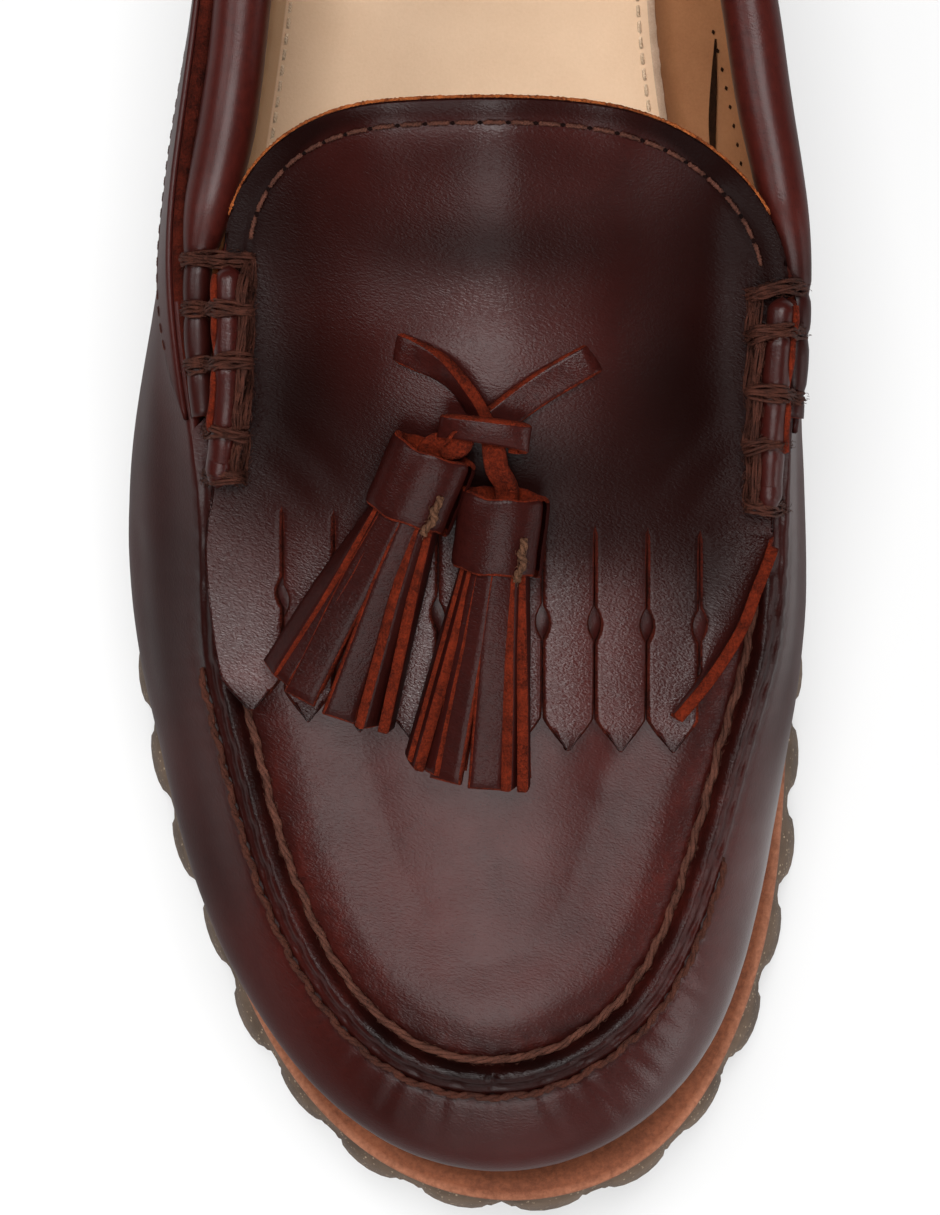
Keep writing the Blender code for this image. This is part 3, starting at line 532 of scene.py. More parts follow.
def pinholes(path, pitch, radius):
    """Small dark flat marks along a line: painted shade that stands for the hollows of holes."""
    travel = lengths_of(path)
    meshes = []
    for middle in np.arange(pitch, travel[-1] - 0.5 * pitch, pitch):
        line = sample(middle + radius * np.array([-1.3, 0.0, 1.3]), travel, path)
        meshes.append(tube(line, np.array([0.3, 1.0, 0.3]) * radius, sides=8, flat=0.35))
    return join(meshes)


# Heights read from the solids, by rays sent down from SKY metres above the floor

SKY = 0.3


def tree_of(node):
    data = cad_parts[node].data
    return BVHTree.FromPolygons([v.co for v in data.vertices], [tuple(p.vertices) for p in data.polygons])


def height_at(tree, x, y):
    """Height of the surface first met from above, or None."""
    hit = tree.ray_cast(Vector((x * MM, y * MM, SKY)), Vector((0, 0, -1)))[0]
    return None if hit is None else hit.z / MM


class Ground:
    """Height of the shown top of chosen solids under a spot."""

    def __init__(self, *nodes):
        self.trees = [tree_of(node) for node in nodes]

    def __call__(self, x, y):
        return max(height_at(tree, x, y) or 0.0 for tree in self.trees)

    def under(self, xs, ys):
        return np.array([self(x, y) for x, y in zip(xs, ys)])


def spline_weight(k, t):
    if k == -1:
        return (1 - t) ** 3 / 6
    if k == 0:
        return (3 * t ** 3 - 6 * t ** 2 + 4) / 6
    if k == 1:
        return (-3 * t ** 3 + 3 * t ** 2 + 3 * t + 1) / 6
    return t ** 3 / 6


class Field:
    """Smooth heights over a plan grid, read from the top of a solid."""

    def __init__(self, node, low, high, step, keep):
        tree = tree_of(node)
        self.low, self.step = np.array(low, float), step
        shape = [int((high[k] - low[k]) / step) + 1 for k in range(2)]
        self.grid = np.full(shape, np.nan)
        for i in range(shape[0]):
            for j in range(shape[1]):
                x, y = self.low + step * np.array([i, j])
                height = height_at(tree, x, y)
                if height is not None and keep(x, y):
                    self.grid[i, j] = height
        self.fill()
        for _ in range(3):
            wide = np.pad(self.grid, 1, mode="edge")
            near = wide[2:, 1:-1] + wide[:-2, 1:-1] + wide[1:-1, 2:] + wide[1:-1, :-2]
            self.grid = 0.5 * self.grid + 0.125 * near

    def fill(self):
        """Spreads known heights into the cells that the solid doesn't reach."""
        rows, cols = self.grid.shape
        while np.isnan(self.grid).any():
            wide = np.pad(self.grid, 1, constant_values=np.nan)
            near = np.stack([wide[a:a + rows, b:b + cols] for a in range(3) for b in range(3)])
            known = (~np.isnan(near)).sum(axis=0)
            mean = np.where(known > 0, np.nansum(near, axis=0) / np.maximum(known, 1), np.nan)
            self.grid = np.where(np.isnan(self.grid), mean, self.grid)

    def __call__(self, x, y):
        """Cubic B-spline over the grid."""
        spot = (np.stack([np.asarray(x, float), np.asarray(y, float)], axis=-1) - self.low) / self.step
        base = np.floor(spot).astype(int)
        t = spot - base
        total = 0.0
        for a in range(-1, 3):
            for b in range(-1, 3):
                i = np.clip(base[..., 0] + a, 0, self.grid.shape[0] - 1)
                j = np.clip(base[..., 1] + b, 0, self.grid.shape[1] - 1)
                total = total + spline_weight(a, t[..., 0]) * spline_weight(b, t[..., 1]) * self.grid[i, j]
        return total


# Finishes

class Look:
    """One node material, put together step by step; sizes in millimetres."""

    def __init__(self, name, roughness=0.5, coat=0.0, coat_roughness=0.2, specular=0.5):
        self.material = bpy.data.materials.new(name)
        self.material.use_nodes = True
        self.tree = self.material.node_tree
        self.shader = self.tree.nodes["Principled BSDF"]
        self.shade("Roughness", roughness)
        self.shade("Coat Weight", coat)
        self.shade("Coat Roughness", coat_roughness)
        self.shade("Specular IOR Level", specular)
        self.place = self.add("ShaderNodeTexCoord").outputs["Object"]
        self.relief = None

    def put(self, socket, value):
        """Links another node's output, or sets a number, a vector or a colour."""
        if isinstance(value, bpy.types.NodeSocket):
            self.tree.links.new(value, socket)
        elif socket.type == "RGBA":
            socket.default_value = (*value, 1.0)
        else:
            socket.default_value = value

    def shade(self, socket, value):
        self.put(self.shader.inputs[socket], value)

    def add(self, kind, inputs=None, **settings):
        made = self.tree.nodes.new(kind)
        for key, value in settings.items():
            setattr(made, key, value)
        for key, value in (inputs or {}).items():
            self.put(made.inputs[key], value)
        return made

    def stretched(self, factors, turn):
        """Coordinates turned about the vertical by that many degrees, then scaled."""
        spin = (0.0, 0.0, math.radians(turn))
        turned = self.add("ShaderNodeMapping", {"Vector": self.place, "Rotation": spin})
        scaled = self.add("ShaderNodeMapping", {"Vector": turned.outputs["Vector"], "Scale": factors})
        return scaled.outputs["Vector"]

    def noise(self, size, detail=3.0, rough=0.55, vector=None):
        inputs = {"Vector": vector or self.place, "Scale": 1.0 / (size * MM)}
        inputs.update({"Detail": detail, "Roughness": rough})
        return self.add("ShaderNodeTexNoise", inputs).outputs["Fac"]

    def cells(self, size, feature="F1", vector=None):
        inputs = {"Vector": vector or self.place, "Scale": 1.0 / (size * MM)}
        return self.add("ShaderNodeTexVoronoi", inputs, feature=feature).outputs["Distance"]

    def mark(self, name):
        return self.add("ShaderNodeAttribute", attribute_name=name).outputs["Fac"]

    def ramp(self, factor, stops):
        """Two colours, or plain numbers, at two stops of the factor."""
        node = self.add("ShaderNodeValToRGB", {"Fac": factor})
        for slot, (place, value) in zip(node.color_ramp.elements, stops):
            slot.position = place
            slot.color = (*value, 1.0) if isinstance(value, tuple) else (value, value, value, 1.0)
        return node.outputs["Color"]

    def blend(self, factor, first, second):
        """Two colours, which are the mix node's sockets 6 and 7."""
        return self.add("ShaderNodeMix", {0: factor, 6: first, 7: second}, data_type="RGBA").outputs[2]

    def math(self, operation, first, second=0.0):
        return self.add("ShaderNodeMath", {0: first, 1: second}, operation=operation).outputs["Value"]

    def mix(self, first, share, second):
        """The first value by its share and the second by the rest."""
        rest = self.math("MULTIPLY", second, 1.0 - share)
        return self.math("ADD", self.math("MULTIPLY", first, share), rest)

    def bump(self, height, depth):
        """Adds relief of that depth in millimetres for a height from 0 to 1."""
        inputs = {"Height": height, "Distance": depth * MM, "Strength": 1.0}
        if self.relief is not None:
            inputs["Normal"] = self.relief
        self.relief = self.add("ShaderNodeBump", inputs).outputs["Normal"]

    def done(self, colour):
        self.shade("Base Color", colour)
        if self.relief is not None:
            self.shade("Normal", self.relief)
            if self.shader.inputs["Coat Weight"].default_value > 0:
                self.shade("Coat Normal", self.relief)
        return self.material


# Colours: a dark and a light tone each, between which a finish varies, and a few single tones
NIGHT = (0.0055, 0.0008, 0.0005)
RUST = (0.048, 0.0062, 0.0040)
BURGUNDY = (0.0240, 0.0034, 0.0025), (0.048, 0.0066, 0.0050)
ROLL = (0.024, 0.0034, 0.0025), (0.050, 0.0072, 0.0052)
TASSEL = (0.014, 0.0021, 0.0016), (0.034, 0.0050, 0.0038)
RAW = (0.040, 0.0050, 0.0019), (0.155, 0.0172, 0.0050)
CUT_EDGE = (0.016, 0.0024, 0.0013), (0.072, 0.0092, 0.0042)
TONGUE_EDGE = (0.070, 0.012, 0.0045), (0.42, 0.115, 0.030)
# Painted shade for holes and slits: dark colours that stand for their unlit insides.
HOLE_SHADE = (0.0030, 0.0008, 0.0006), (0.0090, 0.0020, 0.0014)
HOLE_SHADE_BROWN = (0.012, 0.0045, 0.0018), (0.034, 0.013, 0.0055)
TAN = (0.62, 0.42, 0.27), (0.71, 0.50, 0.335)
TAN_RAW = (0.36, 0.24, 0.16), (0.66, 0.50, 0.37)
LINING = (0.24, 0.095, 0.036), (0.36, 0.16, 0.068)
THREAD = (0.011, 0.0030, 0.0017), (0.072, 0.0195, 0.0105)
SEAM_THREAD = (0.017, 0.0056, 0.0036), (0.108, 0.037, 0.023)
TASSEL_THREAD = (0.020, 0.008, 0.0040), (0.130, 0.056, 0.029)
TAN_THREAD = (0.42, 0.29, 0.18), (0.74, 0.57, 0.41)
WELT_TOP = (0.105, 0.030, 0.012), (0.22, 0.068, 0.029)
WELT_SIDE = (0.17, 0.058, 0.028), (0.34, 0.135, 0.075)
RUBBER = (0.070, 0.045, 0.030), (0.118, 0.078, 0.052)
RUBBER_SPECK = (0.33, 0.25, 0.17)
# Brown of the lapped strip, also used for the painted shade on the insole beside it.
LAP_AND_SHADE_BROWN = (0.40, 0.235, 0.125)


def leather(name, grain=0.24, wax=0.4, polish=0.29, tones=BURGUNDY):
    """Waxed pull-up leather: redder where marked warm, near black where marked dark (darker leather and
    painted shade), flat where dull.
    """
    look = Look(name, roughness=0.6, coat=wax, coat_roughness=polish, specular=0.03)
    cloud = look.noise(24.0, 4.0, 0.6)
    fine = look.noise(1.3, 5.0, 0.65)
    mixed = look.mix(cloud, 0.8, fine)
    pull = look.ramp(mixed, [(0.30, tones[0]), (0.68, tones[1])])
    warmed = look.blend(look.mark("warm"), pull, look.ramp(fine, [(0.3, tones[0]), (0.62, RUST)]))
    colour = look.blend(look.mark("dark"), warmed, NIGHT)
    pores = look.ramp(look.cells(0.9), [(0.05, 0.35), (0.17, 1.0)])
    colour = look.blend(pores, NIGHT, colour)
    pebble = look.cells(0.42, "DISTANCE_TO_EDGE", look.stretched((0.55, 1.0, 1.0), 20.0))
    pebble = look.ramp(pebble, [(0.0, 0.0), (0.26, 1.0)])
    wrinkle = look.noise(0.36, 2.5, 0.5, look.stretched((0.42, 1.0, 1.0), 20.0))
    crease = look.noise(0.85, 2.0, 0.5, look.stretched((0.5, 1.0, 1.0), 35.0))
    crease = look.math("ABSOLUTE", look.math("SUBTRACT", crease, 0.5))
    coarse = look.math("ADD", grain, look.math("MULTIPLY", look.mark("grain"), 1.0 - grain))
    look.bump(look.noise(16.0, 2.0), 0.08)
    look.bump(look.math("MULTIPLY", pebble, coarse), 0.032)
    look.bump(look.math("MULTIPLY", wrinkle, coarse), 0.14)
    look.bump(look.math("MULTIPLY", crease, look.mark("crumple")), 0.30)
    worn = look.math("MULTIPLY", look.mark("dull"), 0.92)
    smear = look.ramp(look.noise(5.0, 4.0, 0.6), [(0.3, 0.85 * wax), (0.7, wax)])
    look.shade("Coat Weight", look.math("MULTIPLY", smear, look.math("SUBTRACT", 1.0, worn)))
    return look.done(colour)


def raw_edge(name, tones):
    """Cut leather: suede with short fibres."""
    look = Look(name, roughness=0.95, specular=0.08)
    fibre = look.noise(0.40, 5.0, 0.75)
    cloud = look.noise(2.6, 4.0, 0.65)
    mixed = look.mix(fibre, 0.55, cloud)
    colour = look.ramp(mixed, [(0.40, tones[0]), (0.60, tones[1])])
    look.bump(fibre, 0.55)
    return look.done(colour)


def thread_look(name, tones):
    """Waxed thread with fuzzy fibres."""
    look = Look(name, roughness=0.75, specular=0.15)
    fibre = look.noise(0.28, 5.0, 0.75)
    cloud = look.noise(3.0, 3.0)
    mixed = look.mix(fibre, 0.65, cloud)
    colour = look.ramp(mixed, [(0.34, tones[0]), (0.66, tones[1])])
    look.bump(fibre, 0.16)
    return look.done(colour)


def suede_look(name, tones, size=0.5, roughness=0.75):
    """Plain vegetable-tanned leather: soft colour clouds and a faint nap, browner on the lapped strip and in
    the painted shade beside it.
    """
    look = Look(name, roughness=roughness, specular=0.3)
    cloud = look.noise(22.0, 4.0, 0.6)
    nap = look.noise(size, 4.0, 0.7)
    look.bump(nap, 0.06)
    colour = look.ramp(look.mix(cloud, 0.7, nap), [(0.32, tones[0]), (0.68, tones[1])])
    return look.done(look.blend(look.mark("lap"), colour, LAP_AND_SHADE_BROWN))


def welt_look(name):
    """Oiled midsole leather, darker on top, with a paler rough edge."""
    look = Look(name, roughness=0.8, specular=0.25)
    nap = look.noise(0.9, 5.0, 0.7)
    cloud = look.noise(14.0, 3.0)
    mixed = look.mix(nap, 0.6, cloud)
    top = look.ramp(mixed, [(0.36, WELT_TOP[0]), (0.64, WELT_TOP[1])])
    side = look.ramp(mixed, [(0.36, WELT_SIDE[0]), (0.64, WELT_SIDE[1])])
    look.bump(nap, 0.16)
    return look.done(look.blend(look.mark("edge"), top, side))


def rubber_look(name):
    """Dark grey-brown moulded rubber full of pale specks."""
    look = Look(name, roughness=0.82, specular=0.35)
    speck = look.ramp(look.cells(0.75), [(0.14, 1.0), (0.32, 0.0)])
    pick = look.ramp(look.noise(1.0, 2.0), [(0.48, 0.0), (0.60, 1.0)])
    base = look.ramp(look.noise(6.0, 4.0), [(0.35, RUBBER[0]), (0.65, RUBBER[1])])
    colour = look.blend(look.math("MULTIPLY", speck, pick), base, RUBBER_SPECK)
    look.bump(look.noise(0.7, 4.0, 0.7), 0.14)
    return look.done(colour)


# Upper

BACK_COLUMNS = 110
FRONT_COLUMNS = 170
TUCK_ROWS = 8
WALL_ROWS = 26
BAND_ROWS = 22
APRON_ROWS = 30
FOOT_DROP = 0.8
STITCH_PITCH = 6.4
# The bulge stands this far above the feather, more where the wall tucks in, at most a share of the wall.
BULGE_RISE = 8.0
BULGE_TUCK = 0.75
BULGE_MOST = 0.55
# How fast the tongue's rounding and the seam's fade end in front of the rolls.
TONGUE_BOW = 2.2
SEAM_FADE = 4.0

# The apron seam across, from the wall inwards: ledge, glossy roll, groove for the rope, apron lip.
RELIEF_ROW = "across rise"
SEAM_ROWS = table(RELIEF_ROW, [
    (-4.2, 0.0), (-3.4, -0.25), (-2.7, 0.2), (-2.3, 0.8), (-1.5, 1.15), (-1.15, 1.5), (-0.6, 2.35),
    (0.2, 2.65), (1.0, 2.2), (1.4, 1.3), (1.8, 0.2), (2.5, -0.2), (3.1, 0.1), (4.2, 0.6), (6.0, 0.95),
    (8.5, 1.15), (12.0, 0.85), (16.0, 0.3), (19.0, 0.0),
])


def upper_columns(back, front):
    """Feather, bulge, top and crown points of each column round the shoe, and its way from roll to toe."""
    bulge_ring = ring_of("bulge")
    knots, period = knots_of(bulge_ring)
    at = half_shares(knots, period, back, front)
    bulge = closed_spline(knots, bulge_ring, period, at)
    top = closed_spline(knots, ring_of("top", True), period, at)
    sole = closed_spline(knots, ring_of("sole"), period, at)
    feather = sole - WELT * plan_normals(sole)
    count = len(at)
    mirror = (count - np.arange(count)) % count
    seam_y = 0.5 * (top[:, 1] + top[mirror, 1])
    seams = along_mm(column(CROWNS, "seam_along"))
    crown = np.stack([smooth(seams, out_mm(column(CROWNS, "out")), seam_y),
                      smooth(seams, along_mm(column(CROWNS, "along")), seam_y),
                      smooth(seams, up_mm(column(CROWNS, "up")), seam_y)], axis=1)
    from_roll = np.minimum(np.arange(count) - back, count - back - np.arange(count)) / front
    return feather, bulge, top, crown, np.clip(from_roll, 0.0, 1.0)


Seam = namedtuple("Seam", "top toward travel fade")
Skin = namedtuple("Skin", "points faces arc across fade normals wall seam")


def wall_grid(feather, bulge, foot):
    """Tuck under the bulge, then a parabola that leans in to the foot of the seam."""
    low = seat(feather[:, 1]) + GAP
    inset = np.hypot(*(bulge - feather).T)
    rise = np.minimum(BULGE_RISE + BULGE_TUCK * inset, BULGE_MOST * (foot[:, 2] - low))
    tuck = np.linspace(0, 1, TUCK_ROWS, endpoint=False)
    climb = np.linspace(0, 1, WALL_ROWS)
    tucked = bulge[:, None] + (feather - bulge)[:, None] * ((1 - tuck) ** 2)[None, :, None]
    leaning = bulge[:, None] + (foot[:, :2] - bulge)[:, None] * (climb ** 2)[None, :, None]
    height = np.concatenate([low[:, None] + rise[:, None] * tuck,
                             (low + rise)[:, None] + (foot[:, 2] - low - rise)[:, None] * climb], axis=1)
    return np.dstack([np.concatenate([tucked, leaning], axis=1), height])


def apron_grid(start, crown, from_roll):
    """From the seam's inner foot up to the crown line, without either end."""
    r = np.linspace(0, 1, APRON_ROWS + 1)[1:-1]
    turn = r * math.pi / 2
    bow = ((1 - np.minimum(1.0, from_roll * TONGUE_BOW)) ** 2)[:, None]
    across = r + bow * (1 - np.cos(turn) ** TONGUE_CORNER - r)
    along = r + bow * (np.sin(turn) ** TONGUE_CORNER - r)
    climb = np.sin(across ** SHELF * math.pi / 2)
    shares = np.dstack([across, along, climb])
    return start[:, None] + (crown - start)[:, None] * shares


CROWN_REACH = 17.0


def ease_crown(points, centre):
    """Lays a smooth cubic patch over the place where the apron's columns meet."""
    off = (points[:, :2] - centre[:2]) / CROWN_REACH
    apart = np.hypot(off[:, 0], off[:, 1])
    near = apart < 1.0
    x, y = off[near].T
    terms = np.stack([np.ones(len(x)), x, y, x * x, x * y, y * y,
                      x ** 3, x * x * y, x * y * y, y ** 3], axis=1)
    weight = (0.15 + apart[near])[:, None]
    fit = np.linalg.lstsq(terms * weight, points[near, 2] * weight[:, 0], rcond=None)[0]
    points[near, 2] += ease(apart[near], 1.0, 0.45) * (terms @ fit - points[near, 2])


def seam_foot(top, crown, from_roll, front):
    """Outer foot of the apron seam, the way inwards from it in plan, and the seam's fade at the rolls."""
    toward = unit(crown[:, :2] - top[:, :2])
    fade = np.zeros(len(top))
    fade[front] = np.minimum(1.0, from_roll[front] * SEAM_FADE)
    foot = top.copy()
    foot[:, :2] -= toward * (0.5 * RIDGE_WIDTH * fade)[:, None]
    foot[:, 2] -= FOOT_DROP * fade
    return foot, toward, fade


def seam_band(foot, toward, fade):
    """Rows across the seam from its outer foot, without the foot itself."""
    reach = np.linspace(0, RIDGE_WIDTH, BAND_ROWS + 1)[1:]
    plan = foot[:, None, :2] + toward[:, None] * reach[None, :, None]
    up = foot[:, None, 2] + FOOT_DROP * fade[:, None] * reach / RIDGE_WIDTH
    return np.dstack([plan, up])


def skin_numbers(count, rows, front, inner_rows):
    """Point numbers of the wall's columns, and of the front columns from the wall's top to the crown line."""
    wall = np.arange(count * rows).reshape(count, rows)
    inner = wall.size + np.arange(len(front) * inner_rows).reshape(-1, inner_rows)
    step = np.arange(len(front))
    spine = wall.size + inner.size + np.minimum(step, len(front) - 1 - step)
    return wall, np.column_stack([wall[front, -1], inner, spine])


def strip_faces(number):
    """Quads between neighbouring rows of a table of point numbers."""
    corners = [number[:-1, :-1], number[1:, :-1], number[1:, 1:], number[:-1, 1:]]
    return np.stack(corners, axis=-1).reshape(-1, 4)


def turned_over(quads):
    """The same quads facing the other way, each from its old first corner."""
    return quads[:, [0, 3, 2, 1]]


def lengths_down(wall):
    """Distance of each wall point down from its column's top."""
    legs = np.linalg.norm(np.diff(wall, axis=1), axis=2)
    down = np.cumsum(legs[:, ::-1], axis=1)[:, ::-1]
    return np.concatenate([down, np.zeros((len(wall), 1))], axis=1)


def upper_skin():
    """The outer skin without relief, with each point's place along and across the apron seam."""
    feather, bulge, top, crown, from_roll = upper_columns(BACK_COLUMNS, FRONT_COLUMNS)
    count = len(top)
    front = np.arange(BACK_COLUMNS, count - BACK_COLUMNS + 1)
    foot, toward, fade = seam_foot(top, crown, from_roll, front)
    wall = wall_grid(feather, bulge, foot)
    band = seam_band(foot[front], toward[front], fade[front])
    inner = np.concatenate([band, apron_grid(band[:, -1], crown[front], from_roll[front])], axis=1)
    rows, inner_rows = wall.shape[1], inner.shape[1]
    half = front[:FRONT_COLUMNS + 1]
    points = np.vstack([wall.reshape(-1, 3), inner.reshape(-1, 3), crown[half]])
    ease_crown(points[count * rows:], crown[half[-1]])
    wall_number, front_number = skin_numbers(count, rows, front, inner_rows)
    around = np.vstack([wall_number, wall_number[:1]])
    faces = np.vstack([strip_faces(around), strip_faces(front_number)])
    travel = lengths_of(top[:, :2])
    travel -= travel[count // 2]
    wall_across = -0.5 * RIDGE_WIDTH - lengths_down(wall)
    chain = np.concatenate([wall[front, -1:], inner, crown[front, None]], axis=1)
    inner_across = np.cumsum(np.linalg.norm(np.diff(chain, axis=1), axis=2), axis=1) - 0.5 * RIDGE_WIDTH
    across = [wall_across.ravel(), inner_across[:, :-1].ravel(), inner_across[:len(half), -1]]

    def on_points(values):
        return np.concatenate([np.repeat(values, rows), np.repeat(values[front], inner_rows), values[half]])

    seam = Seam(top[front], toward[front], travel[front], fade[front])
    return Skin(points, faces, on_points(travel), np.concatenate(across), on_points(fade),
                normals_of(points, faces), wall_number, seam)


# Soft troughs and ridges at listed places: two ends in millimetres, depth (negative for a ridge), half width.
CREASE = "x0 y0 z0 x1 y1 z1 depth width"
WALL_CREASES = table(CREASE, [
    (-52, -40, 40, -51, -72, 36, 0.35, 5.0),
    (-50, -20, 50, -52, -48, 46, -0.30, 5.0),
    (-46, -78, 42, -38, -100, 40, 0.30, 6.0),
    (-47, -84, 30, -36, -112, 30, -0.25, 5.0),
    (50, -30, 46, 51, -62, 40, 0.35, 5.0),
    (50, -70, 40, 45, -96, 36, -0.30, 6.0),
    (46, -92, 42, 38, -112, 40, 0.28, 5.0),
    (-20, -132, 34, 22, -134, 34, 0.22, 5.0),
    (-44, 30, 44, -40, 60, 40, 0.35, 7.0),
    (44, 26, 44, 40, 62, 40, 0.35, 7.0),
    (-30, 118, 46, -18, 136, 50, 0.30, 7.0),
    (32, 116, 46, 22, 134, 50, 0.30, 7.0),
])
APRON_CREASES = table(CREASE, [
    (18, -84, 54, 30, -72, 54, 0.18, 4.0),
    (-22, -78, 55, -8, -82, 56, -0.16, 5.0),
])


def crease_relief(points, creases):
    """Height change of soft troughs with low ridges beside them, faded at their ends."""
    relief = np.zeros(len(points))
    for crease in creases:
        a = np.array([crease.x0, crease.y0, crease.z0], float)
        b = np.array([crease.x1, crease.y1, crease.z1], float)
        axis = b - a
        share = (points - a) @ axis / axis.dot(axis)
        near = np.clip(share, 0, 1)
        off = np.linalg.norm(points - a - near[:, None] * axis, axis=1)
        end = np.clip(1.25 - np.abs(2 * near - 1) ** 3, 0, 1)
        trough = bell(off, 0.0, crease.width) - 0.4 * bell(off, 2.0 * crease.width, crease.width)
        relief -= crease.depth * trough * end
    return relief


# Painted shade: places where the leather's colour is darkened to stand for shade that falls there: middle,
# reach in plan and depth of the shade.
SHADE_PATCH = "x y reach_x reach_y dark"
UPPER_PAINTED_SHADE = table(SHADE_PATCH, [
    (-46, -48, 9, 34, 0.75),
    (-38, -92, 9, 22, 0.45),
    (2, -129, 46, 13, 0.5),
    (47, -60, 6, 30, 0.45),
    (44, 40, 10, 60, 0.35),
    (-38, 40, 10, 60, 0.35),
])
KILTIE_PAINTED_SHADE = table(SHADE_PATCH, [
    (-27, -24, 16, 26, 1.0),
    (-36, -18, 8, 24, 0.9),
    (33, -24, 18, 28, 1.0),
    (45, -18, 9, 24, 0.9),
    (-32, 4, 12, 12, 0.9),
    (40, 2, 12, 14, 0.9),
    (4, -35, 30, 10, 0.95),
    (20, -44, 22, 8, 0.7),
    (36, -50, 8, 14, 0.8),
    (4, -1, 30, 8, 0.85),
    (0, 12, 34, 7, 0.6),
])


def painted_shade_of(points, tones):
    """Depth of painted shade from 0 to 1 at each point, with soft borders."""
    light = np.ones(len(points))
    for tone in tones:
        off = ((points[:, 0] - tone.x) / tone.reach_x) ** 2 + ((points[:, 1] - tone.y) / tone.reach_y) ** 2
        light *= 1 - tone.dark * np.exp(-off)
    return 1 - light


# Relief of the seam in millimetres; PINCH is a width along the seam, as a share of a stitch's pitch.
PINCH = 0.16
GATHER = 0.48
GATHER_SWELL = 0.16
GATHER_FADE = 7.0
LEDGE_SCALES = {"lateral": 0.18, "medial": 0.55}
SCALES_FROM = 14.0
PUFF = 0.20
NOTCH = 0.5
NOTCH_SLANT = 0.16
TOE_JOINT = 1.1
LIP_WAVE = 0.10


def seam_relief(skin):
    """Ledge, roll, groove and lip of the apron seam, gathered between the stitches."""
    across, arc = skin.across, skin.arc
    rise = smooth(column(SEAM_ROWS, "across"), column(SEAM_ROWS, "rise"), across)
    phase = arc / STITCH_PITCH
    cell = np.floor(phase + 0.5).astype(int)
    off = phase - cell
    swell = np.cos(2 * math.pi * off)
    force = 0.7 + 0.6 * np.random.default_rng(3).random(200)[cell % 200]
    wall = np.where(across < -2.6, np.exp(-np.maximum(-across - 3.0, 0.0) / GATHER_FADE), 0.0)
    gather = wall * force * (GATHER_SWELL * swell - GATHER * bell(off, 0.0, PINCH))
    scale = np.where(arc > SCALES_FROM, LEDGE_SCALES["medial"], LEDGE_SCALES["lateral"])
    scale = scale * bell(across, -1.9, 0.7) * (phase % 1.0 - 0.5) * force
    puff = PUFF * bell(across, 0.1, 1.0) * swell
    slant = phase + NOTCH_SLANT * across
    dent = slant - np.floor(slant + 0.5)
    notch = -NOTCH * force * bell(across, -0.7, 1.1) * bell(dent, 0.0, PINCH)
    toe_joint = -TOE_JOINT * bell(arc, 0.0, 0.7) * bell(across, 0.2, 1.4)
    lip = LIP_WAVE * bell(across, 3.9, 1.2) * np.cos(2 * math.pi * (phase + 0.35 * np.sin(phase)))
    return skin.fade * (rise + gather + scale + puff + notch + toe_joint + lip)


RIM_SHOWN = -8.0
DULL_LATERAL = 0.75
DULL_MEDIAL = 0.78
TOE_GLOSS = 0.9


def wall_dullness(skin):
    """Less gloss on the outer walls, and more, as a negative value, on the inner side of the toe."""
    x, y = skin.points[:, 0], skin.points[:, 1]
    wall = ease(-skin.across, 4.0, 14.0)
    lateral = ease(-x, 2.0, 30.0)
    medial = ease(x, 5.0, 30.0) * ease(y, -95.0, -68.0)
    toe = ease(x, 12.0, 34.0) * ease(-y, 66.0, 92.0)
    return wall * (DULL_LATERAL * lateral + DULL_MEDIAL * medial - TOE_GLOSS * toe)


def shell(skin, outer):
    """The skin, its inner side and the rims between them; kinds are 0 leather, 1 raw rim, 2 lining."""
    count = len(outer)
    inner = skin.points - skin.normals * WALL
    faces = tuples(skin.faces)
    kinds = [0] * len(faces)
    faces += [tuple(count + k for k in reversed(face)) for face in skin.faces.tolist()]
    kinds += [2] * len(skin.faces)
    low = np.append(skin.wall[:, 0], skin.wall[:1, 0])
    for a, b in zip(low[:-1], low[1:]):
        faces.append((b, a, count + a, count + b))
        kinds.append(1)
    collar = skin.wall[np.arange(-BACK_COLUMNS, BACK_COLUMNS + 1), -1]
    for a, b in zip(collar[:-1], collar[1:]):
        faces.append((a, b, count + b, count + a))
        kinds.append(1 if skin.points[a, 1] > RIM_SHOWN else 0)
    return Mesh(np.vstack([outer, inner]), faces, kinds)


def upper_marks(skin):
    """How warm, wrinkled, grained, dark and dull the skin is at each point; dark holds painted shade as well
    as darker leather by the seam.
    """
    across, arc = skin.across, skin.arc
    inside = bell(np.maximum(across - 2.5, 0.0), 0.0, 6.5) * (across > 0) * skin.fade
    outside = bell(np.maximum(-across - 3.0, 0.0), 0.0, 5.0) * (across < 0) * skin.fade
    seam = bell(across, 0.0, 3.4, 4) * skin.fade
    blotch = 0.6 + 0.25 * np.sin(arc / 4.1) * np.sin(arc / 9.7) + 0.25 * np.sin(arc / 2.3 + across)
    # dark: darker leather beside the seam, plus the painted shade patches.
    dark = 0.45 * inside * (1 - blotch) + painted_shade_of(skin.points, UPPER_PAINTED_SHADE) + 0.35 * seam
    return {"warm": np.clip(inside + 0.75 * outside, 0, 1) * blotch,
            "crumple": 0.45 * inside + 0.3 * outside,
            "grain": 0.5 * inside,
            "dark": np.clip(dark, 0, 1),
            "dull": np.clip(wall_dullness(skin) + 0.35 * seam, -1, 1)}


def make_upper(finish, raw, lining):
    skin = upper_skin()
    relief = seam_relief(skin) + crease_relief(skin.points, WALL_CREASES + APRON_CREASES)
    outer = skin.points + skin.normals * relief[:, None]
    inside = np.zeros(len(outer))
    marks = {key: np.append(value, inside) for key, value in upper_marks(skin).items()}
    piece("upper_shell", shell(skin, outer), [finish, raw, lining], ["upper"], marks)
    return skin, outer


